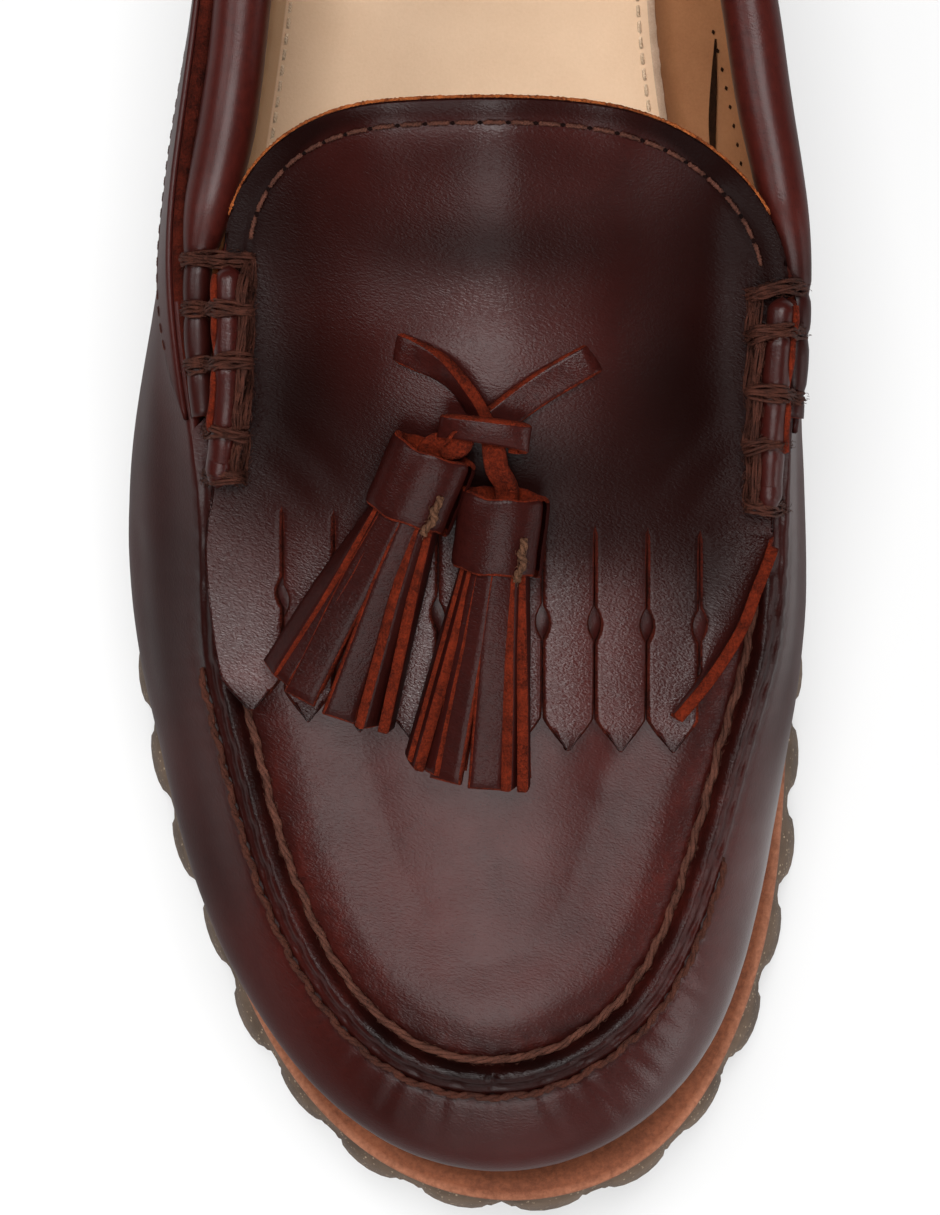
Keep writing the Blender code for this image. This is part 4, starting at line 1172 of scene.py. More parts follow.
ROPE_ACROSS = 2.45
ROPE_RADIUS = 0.52
ROPE_POINTS = 900
ROPE_WANDERS = 60
ROPE_WANDER = 0.10
ROPE_TWIST = 8.0
ROPE_HAIRS = 1200
# The rope is drawn down and aside by each stitch.
ROPE_LIFT = 0.35
ROPE_DIP = 0.22
ROPE_SWING = 0.16
ROPE_LAG = 0.8
WHIP_ACROSS = -2.75
WHIP_RADIUS = 0.54
WHIP_LENGTH = 7.9
WHIP_TWIST = 8.0
WHIP_STARTS = (-64.0, -92.0)
SEAM_SHOWN = 0.45


def seam_line(skin, across, starts=(0.0, 0.0)):
    """Points beside the seam at a distance from its roll's middle, in front of a start on each side."""
    top, toward, travel, fade = skin.seam
    shown = (fade > SEAM_SHOWN) & (top[:, 1] < np.where(travel < 0, *starts))
    plan = top[shown, :2] + toward[shown] * across
    up = top[shown, 2] + FOOT_DROP * fade[shown] * (across / RIDGE_WIDTH - 0.5)
    return np.column_stack([plan, up]), toward[shown]


def make_seam_threads(skin, finish, dull):
    """The rope in the seam's groove and the whipped stitches round its outer foot."""
    rope = even_points(seam_line(skin, ROPE_ACROSS)[0], ROPE_POINTS)
    wander = np.random.default_rng(21).normal(0, ROPE_WANDER, (ROPE_WANDERS, 3))
    rope += sample(np.linspace(0, ROPE_WANDERS - 1, ROPE_POINTS), np.arange(ROPE_WANDERS), wander)
    sewn_wave = 2 * math.pi * lengths_of(rope) / STITCH_PITCH
    rope[:, 2] += ROPE_LIFT + ROPE_DIP * np.cos(sewn_wave)
    rope[:, 0] += ROPE_SWING * np.sin(sewn_wave + ROPE_LAG)
    twisted = join([strands(rope, UP, ROPE_RADIUS, ROPE_TWIST, 3, 7),
                    hairs(rope, UP, ROPE_RADIUS, ROPE_HAIRS, 4)])
    piece("seam_rope", twisted, [finish])
    whip, toward = seam_line(skin, WHIP_ACROSS, WHIP_STARTS)
    outward = np.column_stack([-0.55 * toward, np.full(len(toward), -0.15)])
    lean = np.column_stack([-0.5 * toward, np.full(len(toward), 0.85)])
    sewn = stitches(whip, lean, STITCH_PITCH, WHIP_LENGTH, WHIP_RADIUS, outward, WHIP_TWIST)
    piece("seam_whip", sewn, [dull])


# Quarters: the panel behind each sewn roll, its front edge sweeping down and back; share is a wall height.
QUARTER_EDGES = table("share lateral medial", [
    (0.0, 42.0, 44.0),
    (0.3, 24.0, 26.0),
    (0.6, 6.0, 6.0),
    (0.8, -9.0, -12.0),
    (0.92, -19.0, -22.0),
    (1.0, -26.5, -28.5),
])
QUARTER = 1.0
QUARTER_COLUMNS = 230
QUARTER_STITCH = 2.2
QUARTER_PITCH = 2.9
QUARTER_STITCH_LENGTH = 1.9
QUARTER_STITCH_RADIUS = 0.09


def column_at(wall_y, half, side, y):
    """Column number, with its fraction, where one wall row reaches that place along the shoe."""
    count = len(wall_y)
    numbers = np.arange(half + 1) if side == "lateral" else count - np.arange(half + 1)
    order = np.argsort(wall_y[numbers % count])
    found = np.interp(y, wall_y[numbers % count][order], numbers[order])
    return found if side == "lateral" else found - count


def quarter_row(skin, row, share, inset=0.0):
    """The two column numbers between which one row of the quarters runs round the heel."""
    numbers = skin.wall[:, row]
    wall_y = skin.points[numbers, 1]
    half = len(numbers) // 2
    ends = []
    for side in ("lateral", "medial"):
        y = float(smooth(column(QUARTER_EDGES, "share"), column(QUARTER_EDGES, side), share)) + inset
        ends.append(float(column_at(wall_y, half, side, y)))
    return ends


def skin_at(skin, outer, row, at):
    """Points and normals on one wall row at fractional column numbers."""
    numbers = skin.wall[:, row]
    count = len(numbers)
    low = np.floor(at).astype(int)
    t = (at - low)[:, None]
    a, b = numbers[low % count], numbers[(low + 1) % count]
    normal = skin.normals[a] * (1 - t) + skin.normals[b] * t
    return outer[a] * (1 - t) + outer[b] * t, normal


def make_quarters(skin, outer, finish, raw, thread):
    """One overlay round the heel, and the stitches inside its two front edges."""
    rows = skin.wall.shape[1]
    points, sewn = [], {"lateral": [], "medial": []}
    for row in range(rows):
        share = np.clip((row - 2) / (rows - 3), 0, 1)
        lateral, medial = quarter_row(skin, row, share)
        spots, normals = skin_at(skin, outer, row, np.linspace(lateral, medial, QUARTER_COLUMNS))
        points.append(spots + normals * QUARTER)
        ends = quarter_row(skin, row, share, QUARTER_STITCH)
        for side, at in zip(sewn, ends):
            spot, normal = skin_at(skin, outer, row, np.array([at]))
            sewn[side].append(np.append(spot[0] + normal[0] * QUARTER, normal[0]))
    points = np.array(points)[::-1].reshape(-1, 3)
    faces = grid_faces(rows, QUARTER_COLUMNS)
    top = slice(QUARTER_COLUMNS)
    if (normals_of(points, faces)[top, 1] * points[top, 1]).sum() < 0:
        faces = faces[:, ::-1]
    mesh = leaf(points, faces, QUARTER - 0.1)
    # The quarters' dark mark is the upper's painted shade.
    piece("quarters", mesh, [finish, finish, raw], (),
          {"warm": 0.1, "dull": 0.5, "dark": painted_shade_of(mesh.points, UPPER_PAINTED_SHADE)})
    lines = []
    for track in sewn.values():
        track = np.array(track)[4:-2]
        lines.append(stitches(track[:, :3], track[:, 3:], QUARTER_PITCH, QUARTER_STITCH_LENGTH,
                              QUARTER_STITCH_RADIUS))
    piece("quarter_stitches", join(lines), [thread])


# Sole

def sole_ring(count_per_side):
    """Midsole edge and its outward direction, columns even along each side."""
    ring = ring_of("sole")
    knots, period = knots_of(ring)
    toe = knots[len(SECTIONS) - 1]
    at = np.append(np.linspace(0, toe, count_per_side, endpoint=False),
                   np.linspace(toe, period, count_per_side, endpoint=False))
    points = closed_spline(knots, ring, period, at)
    return points, plan_normals(points)


def ladder(count, start, flip=False):
    """Rungs across a closed ring whose number 0 is the heel."""
    half = count // 2
    faces = [(0, 1, count - 1)]
    for k in range(1, half - 1):
        faces.append((k, k + 1, count - k - 1, count - k))
    faces.append((half - 1, half, half + 1))
    return [tuple(start + k for k in (reversed(f) if flip else f)) for f in faces]


def ring_stack(rings, top=True, bottom=True):
    """A body through closed rings, closed by rungs at its ends."""
    count = len(rings[0])
    faces = tuples(grid_faces(len(rings), count, wrap=True)[:, ::-1])
    if top:
        faces += ladder(count, 0)
    if bottom:
        faces += ladder(count, (len(rings) - 1) * count, flip=True)
    return Mesh(np.vstack(rings), faces, None)


# The midsole's edge from its top inwards: inset from the edge and drop below the seat.
MIDSOLE_ROWS = table("inset drop", [
    (9.0, 0.0), (3.2, 0.0), (1.6, 0.1), (1.35, 0.45), (1.0, 0.5),
    (0.45, 0.7), (0.08, 1.2), (0.0, 2.2), (0.05, 3.6), (0.3, MIDSOLE),
])
MIDSOLE_COLUMNS = 420


def make_midsole(finish):
    points, normals = sole_ring(MIDSOLE_COLUMNS)
    rings = []
    for row in MIDSOLE_ROWS:
        edge = points - row.inset * normals
        rings.append(np.column_stack([edge, seat(edge[:, 1]) - row.drop]))
    edge = np.repeat(np.clip(1.6 - column(MIDSOLE_ROWS, "inset"), 0, 1), len(points))
    piece("midsole_slab", ring_stack(rings), [finish], ["midsole"], {"edge": edge})


# The insole from its top inwards: inset, drop below the top, share of the lapped strip with its painted
# shade, and raw or not.
INSOLE_ROWS = table("inset drop lap raw", [
    (13.0, 0.0, 0.0, 0),
    # Part shares inside the strip lift the insole a little and paint a brown shade on it toward the lateral
    # wall.
    (4.4, 0.0, 0.35, 0),
    (3.1, 0.0, 0.4, 0),
    (2.9, 0.0, 1.0, 0),
    (1.5, 0.0, 1.0, 0),
    (1.2, 0.15, 1.0, 1),
    (0.4, 0.5, 1.0, 1),
    (0.0, 1.2, 1.0, 1),
    (0.0, INSOLE, 0.0, 1),
])
INSOLE_COLUMNS = 300
INSOLE_ROOM = 1.2
INSOLE_GROW = 2.4
INSOLE_FRAY = 0.12
INSOLE_LAP = 0.35
INSOLE_SEWN = {"lateral": 3.7, "medial": 3.0}
# Columns without stitches at each side of the heel and of the toe.
INSOLE_HEEL_PLAIN = 12
INSOLE_TOE_PLAIN = 150
INSOLE_PITCH = 2.5
INSOLE_STITCH = 1.9
INSOLE_THREAD = 0.27


def make_insole(finish, raw, thread):
    points, normals = sole_ring(INSOLE_COLUMNS)
    middle = ease(points[:, 1], -20.0, 5.0) * ease(points[:, 1], 118.0, 95.0)
    edge = points - ((WELT + WALL + INSOLE_ROOM) - INSOLE_GROW * middle)[:, None] * normals
    fray = np.random.default_rng(41).normal(0, INSOLE_FRAY, len(edge))
    base = seat(edge[:, 1]) + GAP
    lateral = edge[:, 0] < 0
    rings, lap_and_shade_rows = [], []
    for row in INSOLE_ROWS:
        line = edge - (row.inset + fray * row.raw)[:, None] * normals
        # The lap share browns the strip; its part values are painted shade on the insole beside it.
        strip = row.lap * lateral
        rings.append(np.column_stack([line, base + INSOLE - row.drop + INSOLE_LAP * strip]))
        lap_and_shade_rows.append(strip * 1.0)
    mesh = ring_stack(rings)
    bands = np.repeat([row.raw for row in INSOLE_ROWS[1:]], len(edge)).tolist()
    kinds = bands + [0] * (len(mesh.faces) - len(bands))
    piece("insole_sock", mesh._replace(kinds=kinds), [finish, raw], ["insole"],
          {"lap": np.concatenate(lap_and_shade_rows)})
    half = len(edge) // 2
    runs = {"lateral": np.arange(INSOLE_HEEL_PLAIN, half - INSOLE_TOE_PLAIN),
            "medial": np.arange(half + INSOLE_TOE_PLAIN, len(edge) - INSOLE_HEEL_PLAIN)}
    lines = []
    for side, numbers in runs.items():
        line = np.column_stack([edge - INSOLE_SEWN[side] * normals, base + INSOLE])[numbers]
        lines.append(stitches(line, UP, INSOLE_PITCH, INSOLE_STITCH, INSOLE_THREAD))
    piece("insole_stitches", join(lines), [thread])


# Inside the medial wall, in plan: an open slit in the lining, and a row of pinholes beside the roll, both
# drawn as dark marks of painted shade.
LINING_SLIT = [(38.4, 34.0), (38.2, 28.0), (38.0, 21.0), (38.2, 15.0)]
LINING_HOLES = [(37.4, 38.0), (40.2, 26.0), (43.2, 11.0)]
LINING_SLIT_POINTS = 24
LINING_SLIT_LIFT = 0.3
LINING_HOLE_POINTS = 40
LINING_HOLE_LIFT = 0.1
LINING_PITCH = 3.0
LINING_HOLE = 0.27


def make_lining_details(slit_shade):
    ground = Ground("upper")
    plan = curve_through(LINING_SLIT, LINING_SLIT_POINTS)
    slit = np.column_stack([plan, ground.under(*plan.T) + LINING_SLIT_LIFT])
    wide = 0.25 + np.sin(np.linspace(0.05, 2.6, LINING_SLIT_POINTS)) ** 1.2
    piece("lining_slit", ribbon(slit, (-0.5, 0, 1.0), wide, 0.2, 5, 0.0, 0.05), [slit_shade] * 3)
    plan = curve_through(LINING_HOLES, LINING_HOLE_POINTS)
    row = np.column_stack([plan, ground.under(*plan.T) + LINING_HOLE_LIFT])
    piece("lining_holes", pinholes(row, LINING_PITCH, LINING_HOLE), [slit_shade])


# One lug's pitch: place in the pitch, how far it reaches out, and how much of it stands as a lug.
LUG_COLUMNS = table("place reach lug", [
    (0.0, 0.36, 0.0), (0.12, 0.36, 0.0), (0.18, 0.45, 0.05), (0.22, 0.55, 0.8),
    (0.27, 0.78, 1.0), (0.38, 0.92, 1.0), (0.50, 1.0, 1.0), (0.64, 1.02, 1.0),
    (0.78, 0.95, 1.0), (0.88, 0.82, 1.0), (0.93, 0.6, 0.8), (0.97, 0.45, 0.05),
])
LUG_START = 0.08
LUG_WEAR = (0.82, 1.12)
LUG_TOE_GROWTH = 0.12
LUG_REACH_IN = 15.0
# The shoulder stays below the outsole's top and above the lugs' roof.
SHOULDER_ROOM = 1.2
SHOULDER_RISE = 1.5
ROOF_ROOM = 0.8


def lug_ring():
    """Midsole edge points, outward directions, reach and lug shares, the same lugs on both sides."""
    ring = ring_of("sole")
    knots, period = knots_of(ring)
    toe = knots[len(SECTIONS) - 1]
    places = column(LUG_COLUMNS, "place")[None] + np.arange(LUGS_PER_SIDE)[:, None]
    places = (places.ravel() - LUG_START) / LUGS_PER_SIDE
    lug = np.tile(column(LUG_COLUMNS, "lug"), LUGS_PER_SIDE)
    wear = np.repeat(np.random.default_rng(11).uniform(*LUG_WEAR, LUGS_PER_SIDE), len(LUG_COLUMNS))
    reach = np.tile(column(LUG_COLUMNS, "reach"), LUGS_PER_SIDE) * wear
    growth = LUG_TOE_GROWTH * ease(places, 0.80, 0.93)
    reach = reach * (1 + growth) + growth * (1 - lug)
    places[0] = 0.0
    lateral = closed_spline(knots, ring, period, places * toe)
    medial = closed_spline(knots, ring, period, period - places[1:] * (period - toe))
    tip = closed_spline(knots, ring, period, [toe])
    points = np.vstack([lateral, tip, medial[::-1]])
    order = np.concatenate([np.arange(len(places)), [0], np.arange(len(places) - 1, 0, -1)])
    return points, plan_normals(points), reach[order], lug[order]


def make_outsole(finish):
    points, normals, reach, lug = lug_ring()
    low = tread(points[:, 1])
    top = seat(points[:, 1]) - MIDSOLE - GAP
    shoulder = np.minimum(top - SHOULDER_ROOM, low + LUG_DEPTH + SHOULDER_RISE)
    roof = np.minimum(low + LUG_DEPTH, shoulder - ROOF_ROOM)
    foot = roof + (low - roof) * lug
    out = LUG_FLARE * reach
    rows = [
        (-0.9, top),
        (-0.25, top - 0.15),
        (0.0, top - 0.7),
        (0.35 * out, 0.5 * (top + shoulder)),
        (0.62 * out, shoulder),
        (0.9 * out, 0.55 * shoulder + 0.45 * foot),
        (out, foot + 1.3 * lug),
        (0.93 * out, foot + 0.4 * lug),
        (0.75 * out - 0.5, foot),
        (-LUG_REACH_IN + 0.6, foot),
        (-LUG_REACH_IN, foot + 0.5 * lug),
        (-LUG_REACH_IN - 1.0, roof),
    ]
    rings = [np.column_stack([points + (offset * normals.T).T, height]) for offset, height in rows]
    mesh = ring_stack(rings, bottom=False)
    verts = tuples(mesh.points)
    faces = mesh.faces + centre_lugs(verts, (len(rings) - 1) * len(points), len(points), low, lug)
    piece("outsole_lugs", Mesh(np.array(verts), faces, None), [finish], ["outsole"])


CENTRE_SHARES = [0.21, 0.235, 0.26, 0.5, 0.74, 0.765, 0.79]
CENTRE_HALF = 0.29
CENTRE_RAMP = 0.05
CENTRE_LEAST = 22.0


def centre_lugs(verts, start, count, low, lug):
    """Rungs across the middle, their points added to verts; where there's room they drop to the tread."""
    half = count // 2
    rungs = []
    for k in range(1, half):
        left, right = np.array(verts[start + k]), np.array(verts[start + count - k])
        row = [start + k]
        for share in CENTRE_SHARES:
            place = left + (right - left) * share
            drop = np.clip((CENTRE_HALF - abs(share - 0.5)) / CENTRE_RAMP, 0, 1)
            if abs(right[0] - left[0]) > CENTRE_LEAST:
                place[2] += (0.5 * (low[k] + low[count - k]) - place[2]) * drop * lug[k]
            row.append(len(verts))
            verts.append(tuple(place))
        row.append(start + count - k)
        rungs.append(row)
    faces = tuples(turned_over(strip_faces(np.array(rungs))))
    faces.append(tuple(reversed([start] + rungs[0])))
    faces.append(tuple([start + half] + rungs[-1]))
    return faces


# Collar roll: its centre lies inward of and above the wall's top edge.
COLLARS = table("side along inward lift radius", [
    ("lateral", -9.0, 2.4, 2.6, 1.9),
    ("lateral", -2.0, 3.7, 2.7, 2.1),
    ("lateral", 2.5, 5.6, 2.4, 4.0),
    ("lateral", 7.0, 6.6, 1.5, 4.4),
    ("lateral", 17.0, 6.0, 2.6, 4.4),
    ("lateral", 30.0, 5.0, 3.6, 4.3),
    ("heel", 46.5, 4.6, 3.9, 4.2),
    ("medial", 30.0, 3.6, 4.5, 4.3),
    ("medial", 17.0, 3.0, 4.6, 4.4),
    ("medial", 7.0, 2.9, 4.6, 4.2),
    ("medial", 2.5, 2.2, 4.4, 3.8),
    ("medial", -2.0, 0.9, 3.2, 2.4),
    ("medial", -9.0, 0.5, 2.8, 2.1),
])
COLLAR_STEPS = 420
COLLAR_SIDES = 36
COLLAR_PINCH = 0.17
COLLAR_SWELL = 0.04
COLLAR_BOUND_DARK = 0.6


def collar_path(steps):
    """Centre points, sideways directions, radii and rim points from the lateral end round the heel."""
    bulge = ring_of("bulge")
    knots, period = knots_of(bulge)
    ring = ring_of("top", True)
    fine = np.linspace(-0.5 * period, 0.5 * period, 1201)
    track = closed_spline(knots, ring, period, fine)
    first = along_mm(COLLARS[0].along)
    last = along_mm(COLLARS[-1].along)
    lateral = fine[(fine > 0) & (track[:, 1] > first)].max()
    medial = fine[(fine < 0) & (track[:, 1] > last)].min()
    at = np.linspace(lateral, medial, steps)
    points = closed_spline(knots, ring, period, at)
    ahead = closed_spline(knots, ring, period, at - 0.5) - closed_spline(knots, ring, period, at + 0.5)
    inward = unit(np.stack([ahead[:, 1], -ahead[:, 0]], axis=1))
    reach = walk_of(points[:, 1], [c.side for c in COLLARS], along_mm(column(COLLARS, "along")))
    inset = smooth(range(len(COLLARS)), column(COLLARS, "inward"), reach)
    lift = smooth(range(len(COLLARS)), column(COLLARS, "lift"), reach)
    radius = smooth(range(len(COLLARS)), column(COLLARS, "radius"), reach)
    centre = np.column_stack([points[:, :2] + inset[:, None] * inward, points[:, 2] + lift])
    return centre, inward, radius, points


def walk_of(ys, sides, stations):
    """Row number, with its fraction, of each point of a path that goes round the heel."""
    heel = sides.index("heel")
    turn = int(np.argmax(ys))
    rows = np.arange(len(stations), dtype=float)
    going = np.interp(ys[:turn + 1], stations[:heel + 1], rows[:heel + 1])
    coming = np.interp(ys[turn + 1:], stations[heel:][::-1], rows[heel:][::-1])
    return np.append(going, coming)


def collar_puff(centre):
    """The roll's ends swell between the binding threads."""
    puff = np.ones(len(centre))
    for bar in BARS:
        same_side = np.sign(centre[:, 0]) == np.sign(bar.outer)
        puff -= COLLAR_PINCH * same_side * bell(centre[:, 1], bar.along, 0.95)
        puff += COLLAR_SWELL * same_side * bell(centre[:, 1], bar.along - 4.0, 2.4)
    return puff


FACING_COLUMNS = 6
FACING_SINK = 0.5
FACING_REACH = 0.55
FACING_THICK = 0.8
FACING_BEVEL = 0.1


def make_facing(finish):
    """The raw strip that fills the gap between the wall's rim and the roll."""
    centre, _, radius, rim = collar_path(COLLAR_STEPS)
    start = rim - FACING_SINK * UP
    stop = centre - (FACING_REACH * radius)[:, None] * UP
    share = np.linspace(0, 1, FACING_COLUMNS)[None, :, None]
    points = (start[:, None] + (stop - start)[:, None] * share).reshape(-1, 3)
    faces = facing_up(points, grid_faces(len(centre), FACING_COLUMNS))
    strip = leaf(points, faces, FACING_THICK, FACING_BEVEL)
    piece("collar_facing", strip, [finish] * 3)


def make_collar(finish, raw):
    centre, inward, radius, _ = collar_path(COLLAR_STEPS)
    travel = lengths_of(centre)
    turn = 2 * math.pi * np.arange(COLLAR_SIDES) / COLLAR_SIDES
    side = np.column_stack([inward, np.zeros(len(inward))])
    ring = np.cos(turn)[None, :, None] * side[:, None] + np.sin(turn)[None, :, None] * UP
    wave = 0.05 * np.sin(travel[:, None] / 5.3 + 2.0 * np.sin(turn)[None, :]) \
        + 0.04 * np.sin(travel[:, None] / 2.9 + 1.5 * np.cos(turn)[None, :])
    size = (radius * collar_puff(centre))[:, None] + wave
    points = centre[:, None] + size[:, :, None] * ring
    faces = tuples(grid_faces(len(centre), COLLAR_SIDES, wrap=True)[:, ::-1])
    kinds = [0] * len(faces)
    last = (len(centre) - 1) * COLLAR_SIDES
    faces += [tuple(range(COLLAR_SIDES)), tuple(range(last + COLLAR_SIDES - 1, last - 1, -1))]
    kinds += [1, 1]
    warm = np.tile(0.35 + 0.3 * np.cos(turn - 0.5), len(centre))
    bound = COLLAR_BOUND_DARK * np.clip((4.0 - centre[:, 1]) / 8.0, 0, 1)
    roll = piece("collar_padding", Mesh(points.reshape(-1, 3), faces, kinds), [finish, raw],
                 ["collar_roll"], {"warm": warm, "dark": np.repeat(bound, COLLAR_SIDES)})


# Kiltie: edges along the shoe, slits between strips, lens holes and pointed tips.
KILTIE = 1.8
STRIPS = 10
EDGE_STRIP = 0.13
SLIT = 0.16
LENS = 1.9
TIP = 5.2
TONGUE_TOP = 7.0
TONGUE_ROUND = {"lateral": 4.0, "medial": 2.5}
KILTIE_EDGES = table("along lateral medial", [
    (8.0, -69.5, 91),
    (0.0, -70, 91),
    (-7.0, -70.5, 88.5),
    (-12.4, -74, 87),
    (-15.5, -76.0, 87),
    (-19.0, -74.5, 80),
    (-21.5, -72.5, 73),
    (-24.0, -68, 66),
])
KILTIE_ENDS = table("share tongue root shoulder", [
    (0.0, -0.7, -13.2, -21.8),
    (0.5, -1.5, -14.2, -24.0),
    (1.0, -2.7, -14.8, -24.4),
])
BODY_ROWS = 84
STRIP_COLUMNS = 9
SIDE_COLUMNS = 18
STRIP_ROWS = 34
TIP_ROWS = 9
SLIT_WORN = 0.34
TIP_WORN = 0.5
# A strip's bow, lift and tilt in millimetres; where its tip ends and its slit opens, as shares of a length.
STRIP_BOW = 0.18
STRIP_LIFT = 0.35
STRIP_TILT = 0.30
TIP_LIFT = 0.25
TIP_CUT = 0.93
SLIT_OPENS = 0.12
LENS_HALF = 0.085
# The last strip stands up along its outer edge and swings over its neighbour.
CURL = table("y x narrow lift rise", [
    (-44.0, 45.6, 1.0, 0.0, 0.8),
    (-47.0, 44.6, 1.0, 0.0, 2.0),
    (-52.0, 42.6, 2.0, 0.0, 3.2),
    (-57.3, 40.6, 2.2, 0.3, 3.6),
    (-63.6, 36.9, 1.2, 1.2, 3.4),
    (-67.5, 34.0, 0.7, 1.6, 3.0),
    (-71.3, 30.8, 0.5, 1.8, 2.4),
])
TONGUE_SUEDE = 4.0
TONGUE_WORN = 0.5
RIM_STITCH = 3.9
RIM_PITCH = 4.2
RIM_STITCH_LENGTH = 3.4
RIM_STITCH_LIFT = 0.14
RIM_THREAD = 0.34
RIM_HOLE = 0.33
# Points of the rim's line without stitches at each end.
RIM_PLAIN = 12
LIP_RADIUS = 0.30
LIP_SINK = 0.3

TONGUE_CREASES = table(CREASE, [
    (-24, -16, 74, 32, -17, 78, -1.2, 9.0),
    (-20, -2, 78, 28, -2, 80, 0.45, 6.0),
    (-26, -46, 66, 32, -47, 66, 1.0, 9.5),
    (-31, -26, 66, -20, -36, 66, 0.25, 2.2),
    (-33, -31, 65, -24, -40, 64, 0.22, 1.8),
    (39, -24, 66, 28, -36, 66, 0.25, 2.2),
    (41, -31, 65, 32, -42, 64, 0.22, 1.8),
])


def kiltie_edge(side, y):
    return smooth(along_mm(column(KILTIE_EDGES, "along")), out_mm(column(KILTIE_EDGES, side)), y)


def kiltie_end(name, share):
    return smooth(column(KILTIE_ENDS, "share"), along_mm(column(KILTIE_ENDS, name)), share)


def kiltie_x(share, y):
    return kiltie_edge("lateral", y) * (1 - share) + kiltie_edge("medial", y) * share


def tongue_edge(share):
    """Arched top edge, from the sides up to the crown."""
    share = np.asarray(share, float)
    low = kiltie_end("tongue", share)
    off = np.abs(2 * share - 1)
    power = np.where(share < 0.5, TONGUE_ROUND["lateral"], TONGUE_ROUND["medial"])
    return low + (along_mm(TONGUE_TOP) - low) * np.sqrt(np.maximum(0.0, 1 - off ** power))


def slit_share(k):
    return EDGE_STRIP + (1 - 2 * EDGE_STRIP) * k / (STRIPS - 2)


def strip_bounds(k):
    left = 0.0 if k == 0 else slit_share(k - 1)
    right = 1.0 if k == STRIPS - 1 else slit_share(k)
    return left, right


def strip_shares(k):
    """Shares across one strip, closer together at the flap's two outer edges."""
    left, right = strip_bounds(k)
    if k == 0:
        return left + (right - left) * np.linspace(0, 1, SIDE_COLUMNS + 1) ** 1.8
    if k == STRIPS - 1:
        return right - (right - left) * np.linspace(1, 0, SIDE_COLUMNS + 1) ** 1.8
    return np.linspace(left, right, STRIP_COLUMNS + 1)


def last_slit_x():
    return float(kiltie_x(slit_share(STRIPS - 2), kiltie_end("root", 1.0)))


FIELD_STEP = 2.4
FIELD_MARGIN = 4.0


def kiltie_field():
    """Top of the flap, without the curled strip."""
    slit_x = last_slit_x()
    root_y = float(kiltie_end("root", 1.0))

    def keep(x, y):
        return x < slit_x or y > root_y

    low, high = np.array(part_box("kiltie"))[:, :2] / MM
    return Field("kiltie", low - FIELD_MARGIN, high + FIELD_MARGIN, FIELD_STEP, keep)


def kiltie_plan():
    """Plan points, lifts and edge wear of the flap, its faces, and the number of points across its body."""
    shares = np.concatenate([strip_shares(k)[(0 if k == 0 else 1):] for k in range(STRIPS)])
    r = np.linspace(0, 1, BODY_ROWS + 1)[:, None] ** 1.25
    y = tongue_edge(shares)[None] * (1 - r) + kiltie_end("root", shares)[None] * r
    x = kiltie_x(shares[None], y)
    spots = [np.dstack([x, y]).reshape(-1, 2)]
    lifts = [np.zeros(x.size)]
    wear = [np.full(x.size, TONGUE_WORN)]
    faces = [grid_faces(BODY_ROWS + 1, len(shares))]
    count, first = x.size, 0
    sway = np.random.default_rng(5)
    for k in range(STRIPS):
        columns = len(strip_shares(k))
        strip, lift, worn = hang_strip(k, sway.uniform(-1, 1, 3))
        number = count + np.arange(strip.shape[0] * columns).reshape(-1, columns)
        root = BODY_ROWS * len(shares) + first + np.arange(columns)
        faces.append(turned_over(strip_faces(np.vstack([root, number]))))
        spots.append(strip.reshape(-1, 2))
        lifts.append(lift.ravel())
        wear.append(np.repeat(worn, columns))
        count += number.size
        first += columns - 1
    return np.vstack(spots), np.concatenate(lifts), np.concatenate(wear), np.vstack(faces), len(shares)


def hang_strip(k, sway):
    """Plan rows, lifts and edge wear of one strip below its root."""
    left, right = strip_bounds(k)
    middle = 0.5 * (left + right)
    root_y = float(kiltie_end("root", middle))
    end_y = float(kiltie_end("shoulder", middle))
    shares = (strip_shares(k) - left) / (right - left)
    v = np.linspace(0, 1, STRIP_ROWS + 1)[1:]
    if k == STRIPS - 1:
        return curled_strip(shares, v, root_y, float(kiltie_x(left, kiltie_end("root", left))))
    y = root_y + (end_y - root_y) * v
    gap = slit_gap(v)
    x_left = kiltie_x(0.0, y) if k == 0 else float(kiltie_x(left, kiltie_end("root", left))) + gap
    x_right = float(kiltie_x(right, kiltie_end("root", right))) - gap
    x = x_left[:, None] + (x_right - x_left)[:, None] * shares[None]
    rows = np.dstack([x, np.repeat(y[:, None], len(shares), axis=1)])
    bow = STRIP_BOW * (1 - (2 * shares - 1) ** 2)[None] * np.minimum(1, 3 * v)[:, None]
    tilt = (STRIP_TILT * sway[1] * v)[:, None] * (shares - 0.5)[None]
    lift = bow + (STRIP_LIFT * sway[0] * v ** 2)[:, None] + tilt
    w = np.linspace(0, TIP_CUT, TIP_ROWS + 1)[1:]
    half = 0.5 * (x_right[-1] - x_left[-1]) * (1 - w ** 1.15)
    centre = 0.5 * (x_left[-1] + x_right[-1])
    tip_x = centre + half[:, None] * (2 * shares - 1)[None]
    tip_y = np.repeat((end_y - TIP * w)[:, None], len(shares), axis=1)
    tip_lift = np.repeat(lift[-1:], TIP_ROWS, axis=0) + TIP_LIFT * sway[2] * w[:, None]
    worn = np.append(SLIT_WORN + (TIP_WORN - SLIT_WORN) * v ** 12, np.minimum(TIP_WORN, 0.55 * half))
    return np.vstack([rows, np.dstack([tip_x, tip_y])]), np.vstack([lift, tip_lift]), worn


def slit_gap(v):
    """Half the gap beside a strip: closed at its root, open at the lens."""
    lens = 0.5 * (LENS - SLIT) * np.maximum(0.0, 1 - ((v - 0.5) / LENS_HALF) ** 2)
    return 0.5 * SLIT * np.minimum(1.0, v / SLIT_OPENS) + lens


def curl_row(name, y):
    return smooth(column(CURL, "y"), column(CURL, name), y)


